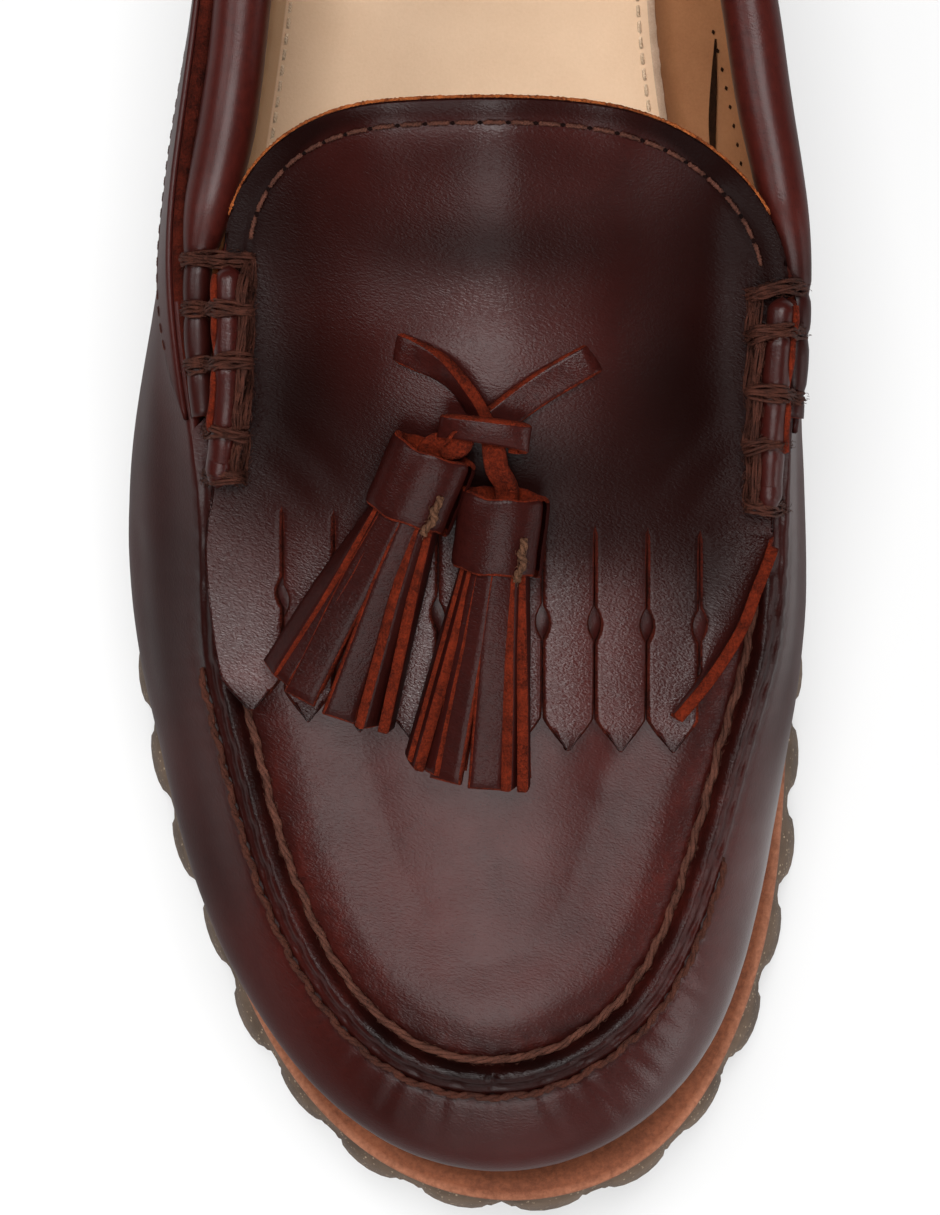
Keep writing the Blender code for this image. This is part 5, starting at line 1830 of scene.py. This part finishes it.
def curled_strip(shares, v, root_y, slit_x):
    """The last strip: flat beside its slit, standing up at its outer edge."""
    y = root_y + (CURL[-1].y - root_y) * v
    x_right = curl_row("x", y)
    x_left = np.minimum(slit_x + slit_gap(v), x_right - curl_row("narrow", y))
    turn = shares * math.pi / 2
    x = x_left[:, None] + (x_right - x_left)[:, None] * (np.sin(turn) ** 0.9)[None]
    lift = curl_row("lift", y)[:, None] + curl_row("rise", y)[:, None] * (1 - np.cos(turn))[None]
    rows = np.dstack([x, np.repeat(y[:, None], len(shares), axis=1)])
    return rows, lift, np.full(len(v), SLIT_WORN)


def edge_line(count=400):
    """The tongue's top edge in plan, from the lateral to the medial side."""
    share = 0.5 - 0.5 * np.cos(np.linspace(0, math.pi, count))
    y = tongue_edge(share)
    return even_points(np.column_stack([kiltie_x(share, y), y]), count)


def distance_to(spots, line):
    best = np.full(len(spots), 1e9)
    for k in range(0, len(line), 2):
        best = np.minimum(best, np.hypot(spots[:, 0] - line[k, 0], spots[:, 1] - line[k, 1]))
    return best


RIM_ROWS = table(RELIEF_ROW, [
    (0.0, -0.12), (0.8, 0.04), (2.0, 0.1), (3.1, 0.02), (3.9, -0.2), (4.8, 0.0), (6.5, 0.04), (9.0, 0.0),
])


def rim_relief(off):
    """The padded rim outside the tongue's stitch line."""
    return smooth(column(RIM_ROWS, "across"), column(RIM_ROWS, "rise"), off)


def make_kiltie(finishes, field):
    spots, lifts, wear, faces, across = kiltie_plan()
    body = (BODY_ROWS + 1) * across
    off = distance_to(spots, edge_line())
    points = np.column_stack([spots, field(spots[:, 0], spots[:, 1]) + lifts])
    points[:, 2] += np.where(np.arange(len(points)) < body, rim_relief(off), 0.0)
    points[:, 2] += crease_relief(points, TONGUE_CREASES)
    mesh = leaf(points, facing_up(points, faces), KILTIE, wear, True)
    show_suede(mesh)
    piece("kiltie_flap", mesh, finishes, ["kiltie"], kiltie_marks(mesh.points))


ROLL_COVER = 4.0


def kiltie_marks(points):
    """How warm, wrinkled, grained, dark and dull the flap is at each point; dark holds painted shade as well
    as the burnished rim and tips.
    """
    x, y = points[:, 0], points[:, 1]
    lateral, medial = kiltie_edge("lateral", y), kiltie_edge("medial", y)
    from_lateral = np.maximum(x - lateral - ROLL_COVER, 0.0)
    from_medial = np.maximum(medial - ROLL_COVER - x, 0.0)
    from_roll = np.minimum(from_lateral, from_medial)
    crumple = bell(from_roll, 0.0, 2.6) * ease(-y, -2.0, 8.0) * np.clip((y + 58) / 14, 0.25, 1)
    close = bell(from_roll, 0.0, 5.0) * ease(-y, 0.0, 12.0)
    grain = np.clip(1.2 * np.clip((-38 - y) / 12, 0, 1) + close, 0, 1)
    rim = bell(distance_to(points[:, :2], edge_line()), 0.0, 3.6, 4)
    share = np.clip((x - lateral) / (medial - lateral), 0, 1)
    burnt = 0.75 * ease(kiltie_end("shoulder", share) - y, -0.5, TIP)
    # Painted shade patches, added to the burnished rim and tips.
    dark = np.clip(painted_shade_of(points, KILTIE_PAINTED_SHADE) + 0.6 * rim + burnt, 0, 1)
    return {"warm": 0.2 * crumple, "crumple": crumple, "grain": grain, "dark": dark,
            "dull": dark - 0.3 * ease(-y, 46.0, 58.0)}


def show_suede(mesh):
    """Gives the tongue's top edge and the last strip's standing edge the look of fresh suede."""
    slit_x = last_slit_x()
    for k, face in enumerate(mesh.faces):
        if mesh.kinds[k] == 1:
            x, y = mesh.points[list(face)].mean(axis=0)[:2]
            beside = x > min(slit_x + 1.5, float(curl_row("x", y)) - 1.0)
            if beside and CURL[-1].y - 2 < y < CURL[0].y:
                mesh.kinds[k] = 2
            if y > TONGUE_SUEDE:
                mesh.kinds[k] = 3


def make_rim_stitches(finish, hole, suede, field):
    """Stitches in the groove inside the tongue's edge, and the frayed suede along that edge."""
    line = edge_line(500)
    ahead = np.gradient(line, axis=0)
    spots = line + RIM_STITCH * unit(np.column_stack([ahead[:, 1], -ahead[:, 0]]))
    up = field(spots[:, 0], spots[:, 1]) + rim_relief(RIM_STITCH) + RIM_STITCH_LIFT
    path = even_points(np.column_stack([spots, up])[RIM_PLAIN:-RIM_PLAIN], 600)
    sewn = stitches(path, UP, RIM_PITCH, RIM_STITCH_LENGTH, RIM_THREAD)
    piece("kiltie_stitches", sewn, [finish])
    # Dark marks between the stitches are painted shade for the stitch holes.
    piece("kiltie_holes", pinholes(path, RIM_PITCH, RIM_HOLE), [hole])
    shown = line[line[:, 1] > TONGUE_SUEDE]
    fray = np.random.default_rng(61).normal(0, 1.0, (len(shown), 2))
    up = field(shown[:, 0], shown[:, 1]) + RIM_ROWS[0].rise - LIP_SINK + 0.04 * fray[:, 0]
    lip = tube(np.column_stack([shown, up]), LIP_RADIUS + 0.05 * fray[:, 1], sides=7)
    piece("kiltie_lip", lip, [suede])


# Beefrolls: bolsters on the kiltie's margins, bound with the collar's ends by thick bars of thread.
BEEFROLLS = table("name side back front", [
    ("beefroll_lateral", "lateral", -1.2, -12.4),
    ("beefroll_medial", "medial", -2.8, -13.6),
])
BEEFROLL_INWARD = 2.0
BEEFROLL_RADIUS = 2.1
BEEFROLL_SHIFT = 1.1
BEEFROLL_END = 2.2
BEEFROLL_PINCH = 0.16
BEEFROLL_POINTS = 160
# The raw edge beside a bolster: how far aside and up it lies, its dip under a bar, and its radius.
RAW_ASIDE = 2.0
RAW_LIFT = 0.35
RAW_DIP = 0.9
RAW_RADIUS = 0.55
BARS = table("side along outer inner", [
    ("lateral", -2.6, -43.4, -32.6),
    ("lateral", -10.1, -43.2, -32.8),
    ("lateral", -18.2, -42.8, -33.0),
    ("lateral", -28.3, -40.6, -33.6),
    ("lateral", -35.6, -40.4, -34.0),
    ("medial", -7.4, 50.6, 42.0),
    ("medial", -14.0, 50.6, 42.0),
    ("medial", -22.8, 50.2, 41.8),
    ("medial", -30.6, 48.4, 41.6),
    ("medial", -39.4, 48.0, 42.0),
])
BAR_WIDE = 2.4
BAR_PLIES = 8
BAR_LIFT = 0.25
# How far the first, second and last points of a bar sink beside the rolls.
BAR_SINKS = {0: 2.2, 1: 0.7, -1: 0.9}
JOIN_WIDE = 1.35
JOIN_PLIES = 6
JOIN_LANES = (0.3, 1.35)
JOIN_LIFT = 0.35
JOIN_SINK = 0.4


def beefroll_axis(roll):
    """Centre line of a bolster, its height read from its solid."""
    y = np.linspace(float(along_mm(roll.back)) - 0.2, float(along_mm(roll.front)) + 0.2, 24)
    x = kiltie_edge(roll.side, y) - OUTWARD[roll.side] * BEEFROLL_INWARD
    z = Ground(roll.name).under(x, y)
    z[0], z[-1] = z[2], z[-3]
    z = soften(z, np.ones(5) / 5) - BEEFROLL_RADIUS
    return even_points(np.column_stack([x, y, z]), BEEFROLL_POINTS)


def bar_marks(path, side, width):
    """From 0 to 1 where the bars of one side cross a path."""
    return np.clip(sum(bell(path[:, 1], bar.along, width) for bar in BARS if bar.side == side), 0, 1)


def make_beefroll(roll, finish, raw):
    """A puffed bolster drawn in under each bar, and the raw edge that stands up beside it."""
    outward = OUTWARD[roll.side]
    path = beefroll_axis(roll)
    path[:, 0] += outward * BEEFROLL_SHIFT
    travel = lengths_of(path)
    end = np.clip(np.minimum(travel, travel[-1] - travel) / BEEFROLL_END, 0, 1)
    radius = BEEFROLL_RADIUS * np.sqrt(np.maximum(1 - (1 - end) ** 2, 0.05))
    radius *= (1 - BEEFROLL_PINCH * bar_marks(path, roll.side, 1.0)) * (1 + 0.03 * np.sin(travel / 1.7))
    piece(roll.name + "_bolster", tube(path, radius, sides=28), [finish], [roll.name],
          {"warm": 0.35, "crumple": 0.15, "dark": 0.35})
    edge = path[6:int(0.72 * len(path))].copy()
    travel = lengths_of(edge)
    wander = 0.35 * np.sin(travel / 2.6) + 0.2 * np.sin(travel / 1.1)
    edge[:, 0] += outward * (RAW_ASIDE + 0.35 * wander)
    edge[:, 2] += RAW_LIFT + 0.5 * wander - RAW_DIP * bar_marks(edge, roll.side, 1.2)
    piece(roll.name + "_raw", tube(edge, RAW_RADIUS + 0.22 * wander, flat=1.5), [raw])


def make_bars(finish):
    """The thick binding threads over both rolls and the doubled threads between them."""
    meshes = []
    ground = Ground("collar_roll", "kiltie", "upper", "beefroll_lateral", "beefroll_medial")
    shake = np.random.default_rng(8)
    share = np.linspace(0, 1, 15)
    for bar in BARS:
        x = bar.outer + (bar.inner - bar.outer) * share
        wave = 0.5 * np.sin(2.2 * share + shake.uniform(0, 6))
        y = bar.along + wave + shake.uniform(-0.6, 0.6) * (share - 0.5)
        wide = np.pad(ground.under(x, y), 2, mode="edge")
        z = np.max([wide[k:k + len(x)] for k in range(5)], axis=0)
        z = soften(z, [0.25, 0.5, 0.25]) + BAR_LIFT
        for k, sink in BAR_SINKS.items():
            z[k] -= sink
        path = curve_through(np.column_stack([x, y, z]), 40)
        meshes.append(flat_thread(path, UP, BAR_WIDE, BAR_PLIES, len(meshes)))
    for first, second in zip(BARS[:-1], BARS[1:]):
        if first.side == second.side:
            meshes += joining_threads(first, second, ground, shake)
    piece("beefroll_threads", join(meshes), [finish])


def joining_threads(first, second, ground, shake):
    """Two threads side by side from one bar to the next along the inner side."""
    share = np.linspace(0, 1, 9)
    made = []
    for lane in JOIN_LANES:
        y = first.along + (second.along - first.along) * share
        x = first.inner + (second.inner - first.inner) * share
        x += OUTWARD[first.side] * lane + 0.25 * np.sin(4 * share + lane)
        z = soften(ground.under(x, y), [0.3, 0.4, 0.3]) + JOIN_LIFT
        z[[0, -1]] -= JOIN_SINK
        path = curve_through(np.column_stack([x, y, z]), 34)
        made.append(flat_thread(path, UP, JOIN_WIDE, JOIN_PLIES, int(shake.integers(1000))))
    return made


# Tassels: a cap and a skirt of strips, lying on the kiltie.
TASSELS = table("name top_out top_along end_out end_along skirt", [
    ("tassel_lateral", -11.0, -10.9, -41.0, -23.4, 11.0),
    ("tassel_medial", 9.5, -13.2, -0.5, -27.2, 10.2),
])
CAP_HALF = 6.5
CAP_THICK = 4.4
CAP_SHARE = 0.24
CAP_SEAM = 2.75
CAP_TURNS = 73
STRIP_START = 0.20
STRIP_THICK = 1.7
STRIP_CROWN = 0.12
STRIP_BEVEL = 0.34
STRIP_POINTS = 22
BUNDLE_SHARE = 0.80
# Strips of each skirt: place round the bundle and the way each faces in degrees (90 is up), width,
# length as a share of the tassel, and depth in the bundle.
SKIRT = "turn facing wide reach depth"
SKIRTS = {
    "tassel_lateral": table(SKIRT, [
        (2, 36, 4.6, 0.96, 1.0),
        (36, 62, 3.8, 0.97, 0.92),
        (66, 84, 5.2, 1.00, 1.0),
        (104, 103, 5.2, 1.01, 1.0),
        (134, 150, 4.4, 1.00, 0.95),
        (162, 172, 4.6, 0.99, 1.0),
        (210, 215, 4.2, 0.97, 0.9),
        (250, 250, 4.4, 0.98, 0.9),
        (290, 290, 4.4, 0.98, 0.9),
        (330, 330, 4.2, 0.97, 0.9),
    ]),
    "tassel_medial": table(SKIRT, [
        (0, 8, 4.2, 0.95, 1.0),
        (24, 18, 4.0, 0.97, 0.95),
        (44, 40, 3.8, 0.98, 0.92),
        (68, 72, 5.0, 1.00, 1.0),
        (106, 96, 5.6, 1.01, 0.98),
        (138, 160, 3.8, 1.00, 0.96),
        (162, 176, 4.4, 1.00, 1.0),
        (205, 210, 4.2, 0.97, 0.9),
        (250, 250, 4.4, 0.98, 0.9),
        (290, 290, 4.4, 0.98, 0.9),
        (330, 330, 4.2, 0.97, 0.9),
    ]),
}
# The cap's rings: share down the tassel, width as a share of the cap's, and raw or not.
CAP_ROWS = table("share wide raw", [
    (0.05, 0.66, 1), (-0.02, 0.74, 1), (-0.033, 0.80, 1), (-0.035, 0.90, 1), (-0.03, 0.955, 1),
    (-0.015, 0.985, 0), (0.05, 1.0, 0), (0.15, 0.985, 0), (0.205, 1.0, 0), (0.232, 0.985, 0),
    (0.24, 0.95, 1), (0.24, 0.84, 1), (0.21, 0.80, 1),
])
# The cap's thread: share down the tassel, drift aside in radians, and distance from the axis.
CAP_THREAD = [(0.10, 0.05, 1.0), (0.12, 0.02, 1.1), (0.15, -0.04, 1.12),
              (0.185, 0.06, 1.12), (0.22, -0.04, 1.11), (0.25, 0.02, 1.0)]
CAP_THREAD_TURN = 2.12
CAP_THREAD_RADIUS = 0.5
CAP_THREAD_TWIST = 2.3

Bundle = namedtuple("Bundle", "start axis side up")


def tassel_axis(tassel):
    """Axis ends of a tassel, read from its solid: the middles of its first and last rings."""
    start = plan_spot(tassel.top_out, tassel.top_along)
    axis = plan_spot(tassel.end_out, tassel.end_along) - start
    solid = np.array([v.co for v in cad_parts[tassel.name].data.vertices]) / MM
    share = (solid[:, :2] - start) @ axis / axis.dot(axis)
    first = solid[share < share.min() + 0.05, 2]
    last = solid[share > share.max() - 0.05, 2]
    return (np.append(start, 0.5 * (first.min() + first.max())),
            np.append(start + axis, 0.5 * (last.min() + last.max())))


def make_tassel(tassel, finish, raw, thread):
    start, end = tassel_axis(tassel)
    side = unit(np.cross(end - start, UP))
    bundle = Bundle(start, end - start, side, unit(np.cross(side, end - start)))
    sway = np.random.default_rng(17 + len(tassel.name))
    parts = [tassel_cap(bundle)]
    for strip in SKIRTS[tassel.name]:
        parts.append(skirt_strip(tassel.skirt, strip, bundle, sway.uniform(-1, 1, 3)))
    piece(tassel.name + "_bundle", join(parts), [finish, raw, raw], [tassel.name],
          {"warm": 0.15, "dark": 0.35, "dull": 0.55})
    piece(tassel.name + "_stitch", cap_stitch(bundle), [thread])


def round_bundle(bundle, share, turn, wide, thick):
    """Points round the axis: a share of the way down it, at an angle, with two half widths."""
    aside = bundle.side * (wide * np.cos(turn))[:, None]
    return bundle.start + bundle.axis * share + aside + bundle.up * (thick * np.sin(turn))[:, None]


def tassel_cap(bundle):
    """A wrapped band, raw at both rims, whose free end laps over on its right."""
    turn = np.linspace(0, 2 * math.pi, CAP_TURNS)
    wrap = 1.0 + 0.10 * (1 - turn / (2 * math.pi))
    wave = 0.004 * np.sin(3 * turn) + 0.003 * np.sin(7 * turn)
    rings = []
    for row in CAP_ROWS:
        grow = row.wide * wrap
        ring = round_bundle(bundle, row.share, turn + CAP_SEAM, CAP_HALF * grow, CAP_THICK * grow)
        rings.append(ring + bundle.axis * wave[:, None])
    faces = tuples(grid_faces(len(CAP_ROWS), CAP_TURNS)[:, ::-1])
    kinds = np.repeat([row.raw for row in CAP_ROWS[1:]], CAP_TURNS - 1).tolist()
    return Mesh(np.vstack(rings), faces, kinds)


def cap_stitch(bundle):
    """The twisted thread that holds the cap's free end."""
    share, drift, grow = np.array(CAP_THREAD).T
    turn = CAP_THREAD_TURN + drift
    spots = round_bundle(bundle, share[:, None], turn, CAP_HALF * grow, CAP_THICK * grow)
    path = curve_through(spots, 60)
    twisted = strands(path, bundle.up, CAP_THREAD_RADIUS, CAP_THREAD_TWIST, 2, 7)
    return join([twisted, hairs(path, bundle.up, CAP_THREAD_RADIUS, 60, 31)])


def skirt_strip(skirt, strip, bundle, sway):
    """One strip from under the cap to the skirt's end, turning to face its own way."""
    turn, facing = math.radians(strip.turn), math.radians(strip.facing)
    share = np.linspace(STRIP_START, strip.reach, STRIP_POINTS)
    spread = np.clip((share - CAP_SHARE) / (1 - CAP_SHARE), 0, 1)
    tied = CAP_HALF * BUNDLE_SHARE
    wide = (tied + (skirt - tied) * spread) * strip.depth
    thick = CAP_THICK * (BUNDLE_SHARE - 0.02 * spread) * strip.depth
    line = round_bundle(bundle, share[:, None], turn, wide, thick)
    line += bundle.side * (0.5 * sway[1] * spread ** 2)[:, None]
    line += bundle.up * (0.5 * sway[0] * np.sin(math.pi * spread))[:, None]
    way = turn + (facing - turn) * np.clip(0.35 + 1.2 * spread, 0, 1)
    tops = bundle.side * np.cos(way)[:, None] + bundle.up * np.sin(way)[:, None]
    width = strip.wide * (0.78 + 0.22 * np.clip(3 * spread, 0, 1))
    return ribbon(line, tops, width, STRIP_THICK, 5, STRIP_CROWN, STRIP_BEVEL)


# Lace: flat arms from the holes to the knot, and a stem to each tassel.
LACE_THICK = 1.8
LACE_MARKS = {"warm": 0.25, "crumple": 0.15, "dark": 0.25, "dull": 0.3}
KNOT = (13.4, 5.0, 4.6)
KNOT_OUT = 4.0
KNOT_ALONG = -9.7
KNOT_TILT = math.radians(-8)
KNOT_RISE = 2.3
# An arm starts sunk in its hole, rises in a short share of its way and runs under the knot at its end.
ARM_POINTS = 26
ARM_START = -0.03
ARM_RISE = 0.07
ARM_SUNK = 3.2
ARM_LIFT = 0.15
ARM_UNDER = 0.75
HOLES = table("out along wide twist bow", [
    (-22.0, -5.3, 4.6, 1.2, (1.2, 1.6)),
    (36.0, -5.8, 5.0, -0.35, (-0.3, 0.5)),
])
HOLE_HALF = 3.0
HOLE_POINTS = 13
STEMS = table("tassel wide twist", [(TASSELS[0], 4.2, 0.2), (TASSELS[1], 3.6, -0.5)])
STEM_POINTS = 30


def knot_centre():
    x, y = plan_spot(KNOT_OUT, KNOT_ALONG)
    return np.array([x, y, Ground("tassel_lace")(x, y) - 0.54 * KNOT[2]])


def lace_arm(hole, knot, ground):
    """Points and up directions of one arm: out of its hole, over the flap and twisting under the knot."""
    start = plan_spot(hole.out, hole.along)
    reach = knot[:2] - start
    ahead = unit(reach)
    spots, ups = [], []
    for share in np.linspace(ARM_START, 1.0, ARM_POINTS):
        place = start + reach * share + np.array(hole.bow) * math.sin(math.pi * min(1.0, max(0.0, share)))
        level = ground(*place) + LACE_THICK + ARM_LIFT
        rise = min(1.0, max(0.0, share - ARM_START) / ARM_RISE)
        belly = math.sin(math.pi * min(1.0, share * 1.1)) * abs(hole.twist)
        height = level - ARM_SUNK * (1 - rise) + belly
        spots.append((*place, height + (knot[2] - height) * max(0.0, share - ARM_UNDER) * 3.2))
        turn = hole.twist * float(0.2 + 0.8 * ease(share, 0.05, 0.7))
        ups.append((ahead[1] * math.sin(turn), -ahead[0] * math.sin(turn), math.cos(turn)))
    return np.array(spots), np.array(ups)


def knot_band(knot):
    """The strip wrapped over both arms, its ends tucked under."""
    along = np.array([math.cos(KNOT_TILT), math.sin(KNOT_TILT), 0.0])
    turn = np.linspace(math.pi + 0.9, -0.9, 40)
    aside, above = np.cos(turn)[:, None], np.sin(turn)[:, None]
    path = knot + 0.5 * KNOT[0] * along * aside + KNOT_RISE * UP * above
    ups = 0.45 * along * aside + np.array([0, -0.55, 1.0]) * above
    return ribbon(path, ups, KNOT[1] * (0.86 + 0.06 * np.cos(turn)), LACE_THICK, 7, 0.25)


def lace_stem(knot, stem):
    """From under the knot to the tassel's cap, its raw side up."""
    start, end = tassel_axis(stem.tassel)
    axis = unit(end - start)
    path = curve_through([knot + np.array([0.4 * (start[0] - knot[0]), 1.0, -0.4]),
                          0.5 * (knot + start) + 1.2 * UP,
                          start - axis * 1.5,
                          start + axis * 4.0], STEM_POINTS)
    turn = stem.twist * np.sin(np.linspace(0, math.pi, STEM_POINTS))
    ups = np.column_stack([np.sin(turn), 0 * turn, np.cos(turn)])
    strip = ribbon(path, ups, stem.wide, LACE_THICK, 5, 0.1)
    return strip._replace(kinds=[1] * len(strip.faces))


def hole_mouth(hole, knot, ground):
    """A dark flat mark behind an arm's start: painted shade for the slot the arm comes out of."""
    plan = plan_spot(hole.out, hole.along)
    ahead = unit(knot[:2] - plan)
    across = np.array([-ahead[1], ahead[0]])
    spots = plan - 1.9 * ahead + across * np.linspace(-HOLE_HALF, HOLE_HALF, HOLE_POINTS)[:, None]
    line = np.column_stack([spots, ground.under(*spots.T) + 0.05])
    return tube(line, 0.2 + 0.6 * np.sin(np.linspace(0, math.pi, HOLE_POINTS)), sides=8, flat=0.3)


def make_lace(finish, raw, hole):
    knot = knot_centre()
    ground = Ground("kiltie")
    arms = [lace_arm(each, knot, ground) for each in HOLES]
    strips = [ribbon(*arm, each.wide, LACE_THICK, 7, 0.1) for arm, each in zip(arms, HOLES)]
    lace = piece("lace", join(strips), [finish, raw, raw], ["tassel_lace"], LACE_MARKS)
    bound = [knot_band(knot)] + [lace_stem(knot, stem) for stem in STEMS]
    tied = piece("lace_knot", join(bound), [finish, raw, raw], (), LACE_MARKS)
    # The holes' mouths are dark marks of painted shade.
    mouths = [hole_mouth(each, knot, ground) for each in HOLES]
    piece("lace_holes", join(mouths), [hole])


# Stage

FLOOR_HALF = 20.0
FLOOR_GLOW = 0.515


def make_floor():
    look = Look("floor_paper", roughness=0.6)
    shade = look.ramp(look.noise(400.0, 2.0), [(0.3, 0.27), (0.7, 0.28)])
    look.shade("Emission Color", (1.0, 1.0, 1.0))
    look.shade("Emission Strength", FLOOR_GLOW)
    corners = [(x * FLOOR_HALF, y * FLOOR_HALF, 0) for x, y in ((-1, -1), (1, -1), (1, 1), (-1, 1))]
    data = bpy.data.meshes.new("floor")
    data.from_pydata(corners, [], [(0, 1, 2, 3)])
    data.materials.append(look.done(shade))
    floor = bpy.data.objects.new("floor", data)
    bpy.context.scene.collection.objects.link(floor)


# Softboxes: places and sizes in metres, power in watts.
SOFTBOXES = table("name x y z wide deep power", [
    ("toe_key", -0.05, -0.86, 1.55, 1.15, 0.62, 15.5),
    ("left_key", -1.0, 0.30, 1.25, 0.7, 0.7, 9.0),
    ("toe_low", 0.0, -1.15, 1.02, 0.7, 0.22, 3.2),
    ("toe_front", 0.0, -1.50, 0.50, 1.4, 0.5, 3.0),
    ("overhead", 0.0, 0.40, 1.60, 0.9, 0.7, 27.0),
    ("right_front", 1.05, -0.90, 0.35, 0.4, 0.6, 3.8),
    ("right", 1.4, -0.3, 0.35, 0.4, 1.0, 4.0),
])
AIM = Vector((0.0, -0.05, 0.05))


def make_lights():
    for box in SOFTBOXES:
        light = bpy.data.lights.new(box.name, "AREA")
        light.shape = "RECTANGLE"
        light.size = box.wide
        light.size_y = box.deep
        light.energy = box.power
        made = bpy.data.objects.new(box.name, light)
        made.location = (box.x, box.y, box.z)
        made.rotation_euler = (AIM - made.location).to_track_quat("-Z", "Y").to_euler()
        bpy.context.scene.collection.objects.link(made)
    world = bpy.data.worlds.new("studio")
    world.use_nodes = True
    sky = world.node_tree.nodes["Background"].inputs
    sky["Color"].default_value = (1.0, 1.0, 1.0, 1.0)
    sky["Strength"].default_value = 0.0
    bpy.context.scene.world = world
    bpy.context.scene.view_settings.view_transform = "Standard"


CAMERA_HEIGHT = 1.100
CAMERA_ALONG = -0.055
CAMERA_LENS = 202.9


def make_camera():
    data = bpy.data.cameras.new("camera")
    data.lens = CAMERA_LENS
    data.sensor_width = 36.0
    camera = bpy.data.objects.new("camera", data)
    camera.location = (0.0, CAMERA_ALONG, CAMERA_HEIGHT)
    bpy.context.scene.collection.objects.link(camera)
    bpy.context.scene.camera = camera


def main():
    make_camera()
    make_lights()
    make_floor()
    skin_leather = leather("leather_upper")
    flap_leather = leather("leather_kiltie", grain=0.42, wax=0.60)
    roll_leather = leather("leather_roll", grain=0.16, wax=0.36, polish=0.33, tones=ROLL)
    strip_leather = leather("leather_tassel", grain=0.4, wax=0.3, polish=0.23, tones=TASSEL)
    raw = raw_edge("leather_raw", RAW)
    cut_edge = raw_edge("leather_cut", CUT_EDGE)
    tongue_suede = raw_edge("leather_tongue_edge", TONGUE_EDGE)
    hole = raw_edge("hole_dark", HOLE_SHADE)
    slit_shade = raw_edge("hole_brown", HOLE_SHADE_BROWN)
    tan = suede_look("leather_tan", TAN)
    tan_raw = suede_look("leather_tan_raw", TAN_RAW, size=0.35, roughness=0.95)
    lining = suede_look("leather_lining", LINING)
    welt = welt_look("leather_midsole")
    rubber = rubber_look("rubber_sole")
    thread = thread_look("thread_brown", THREAD)
    seam_thread = thread_look("thread_seam", SEAM_THREAD)
    cap_thread = thread_look("thread_cap", TASSEL_THREAD)
    tan_thread = thread_look("thread_tan", TAN_THREAD)
    make_lace(strip_leather, raw, hole)
    make_outsole(rubber)
    make_midsole(welt)
    make_insole(tan, tan_raw, tan_thread)
    make_lining_details(slit_shade)
    skin, outer = make_upper(skin_leather, cut_edge, lining)
    make_seam_threads(skin, seam_thread, thread)
    make_quarters(skin, outer, skin_leather, cut_edge, thread)
    make_collar(roll_leather, raw)
    make_facing(cut_edge)
    field = kiltie_field()
    make_kiltie([flap_leather, cut_edge, raw, tongue_suede], field)
    make_rim_stitches(seam_thread, hole, tongue_suede, field)
    for roll in BEEFROLLS:
        make_beefroll(roll, skin_leather, raw)
    make_bars(thread)
    for tassel in TASSELS:
        make_tassel(tassel, strip_leather, raw, cap_thread)


main()
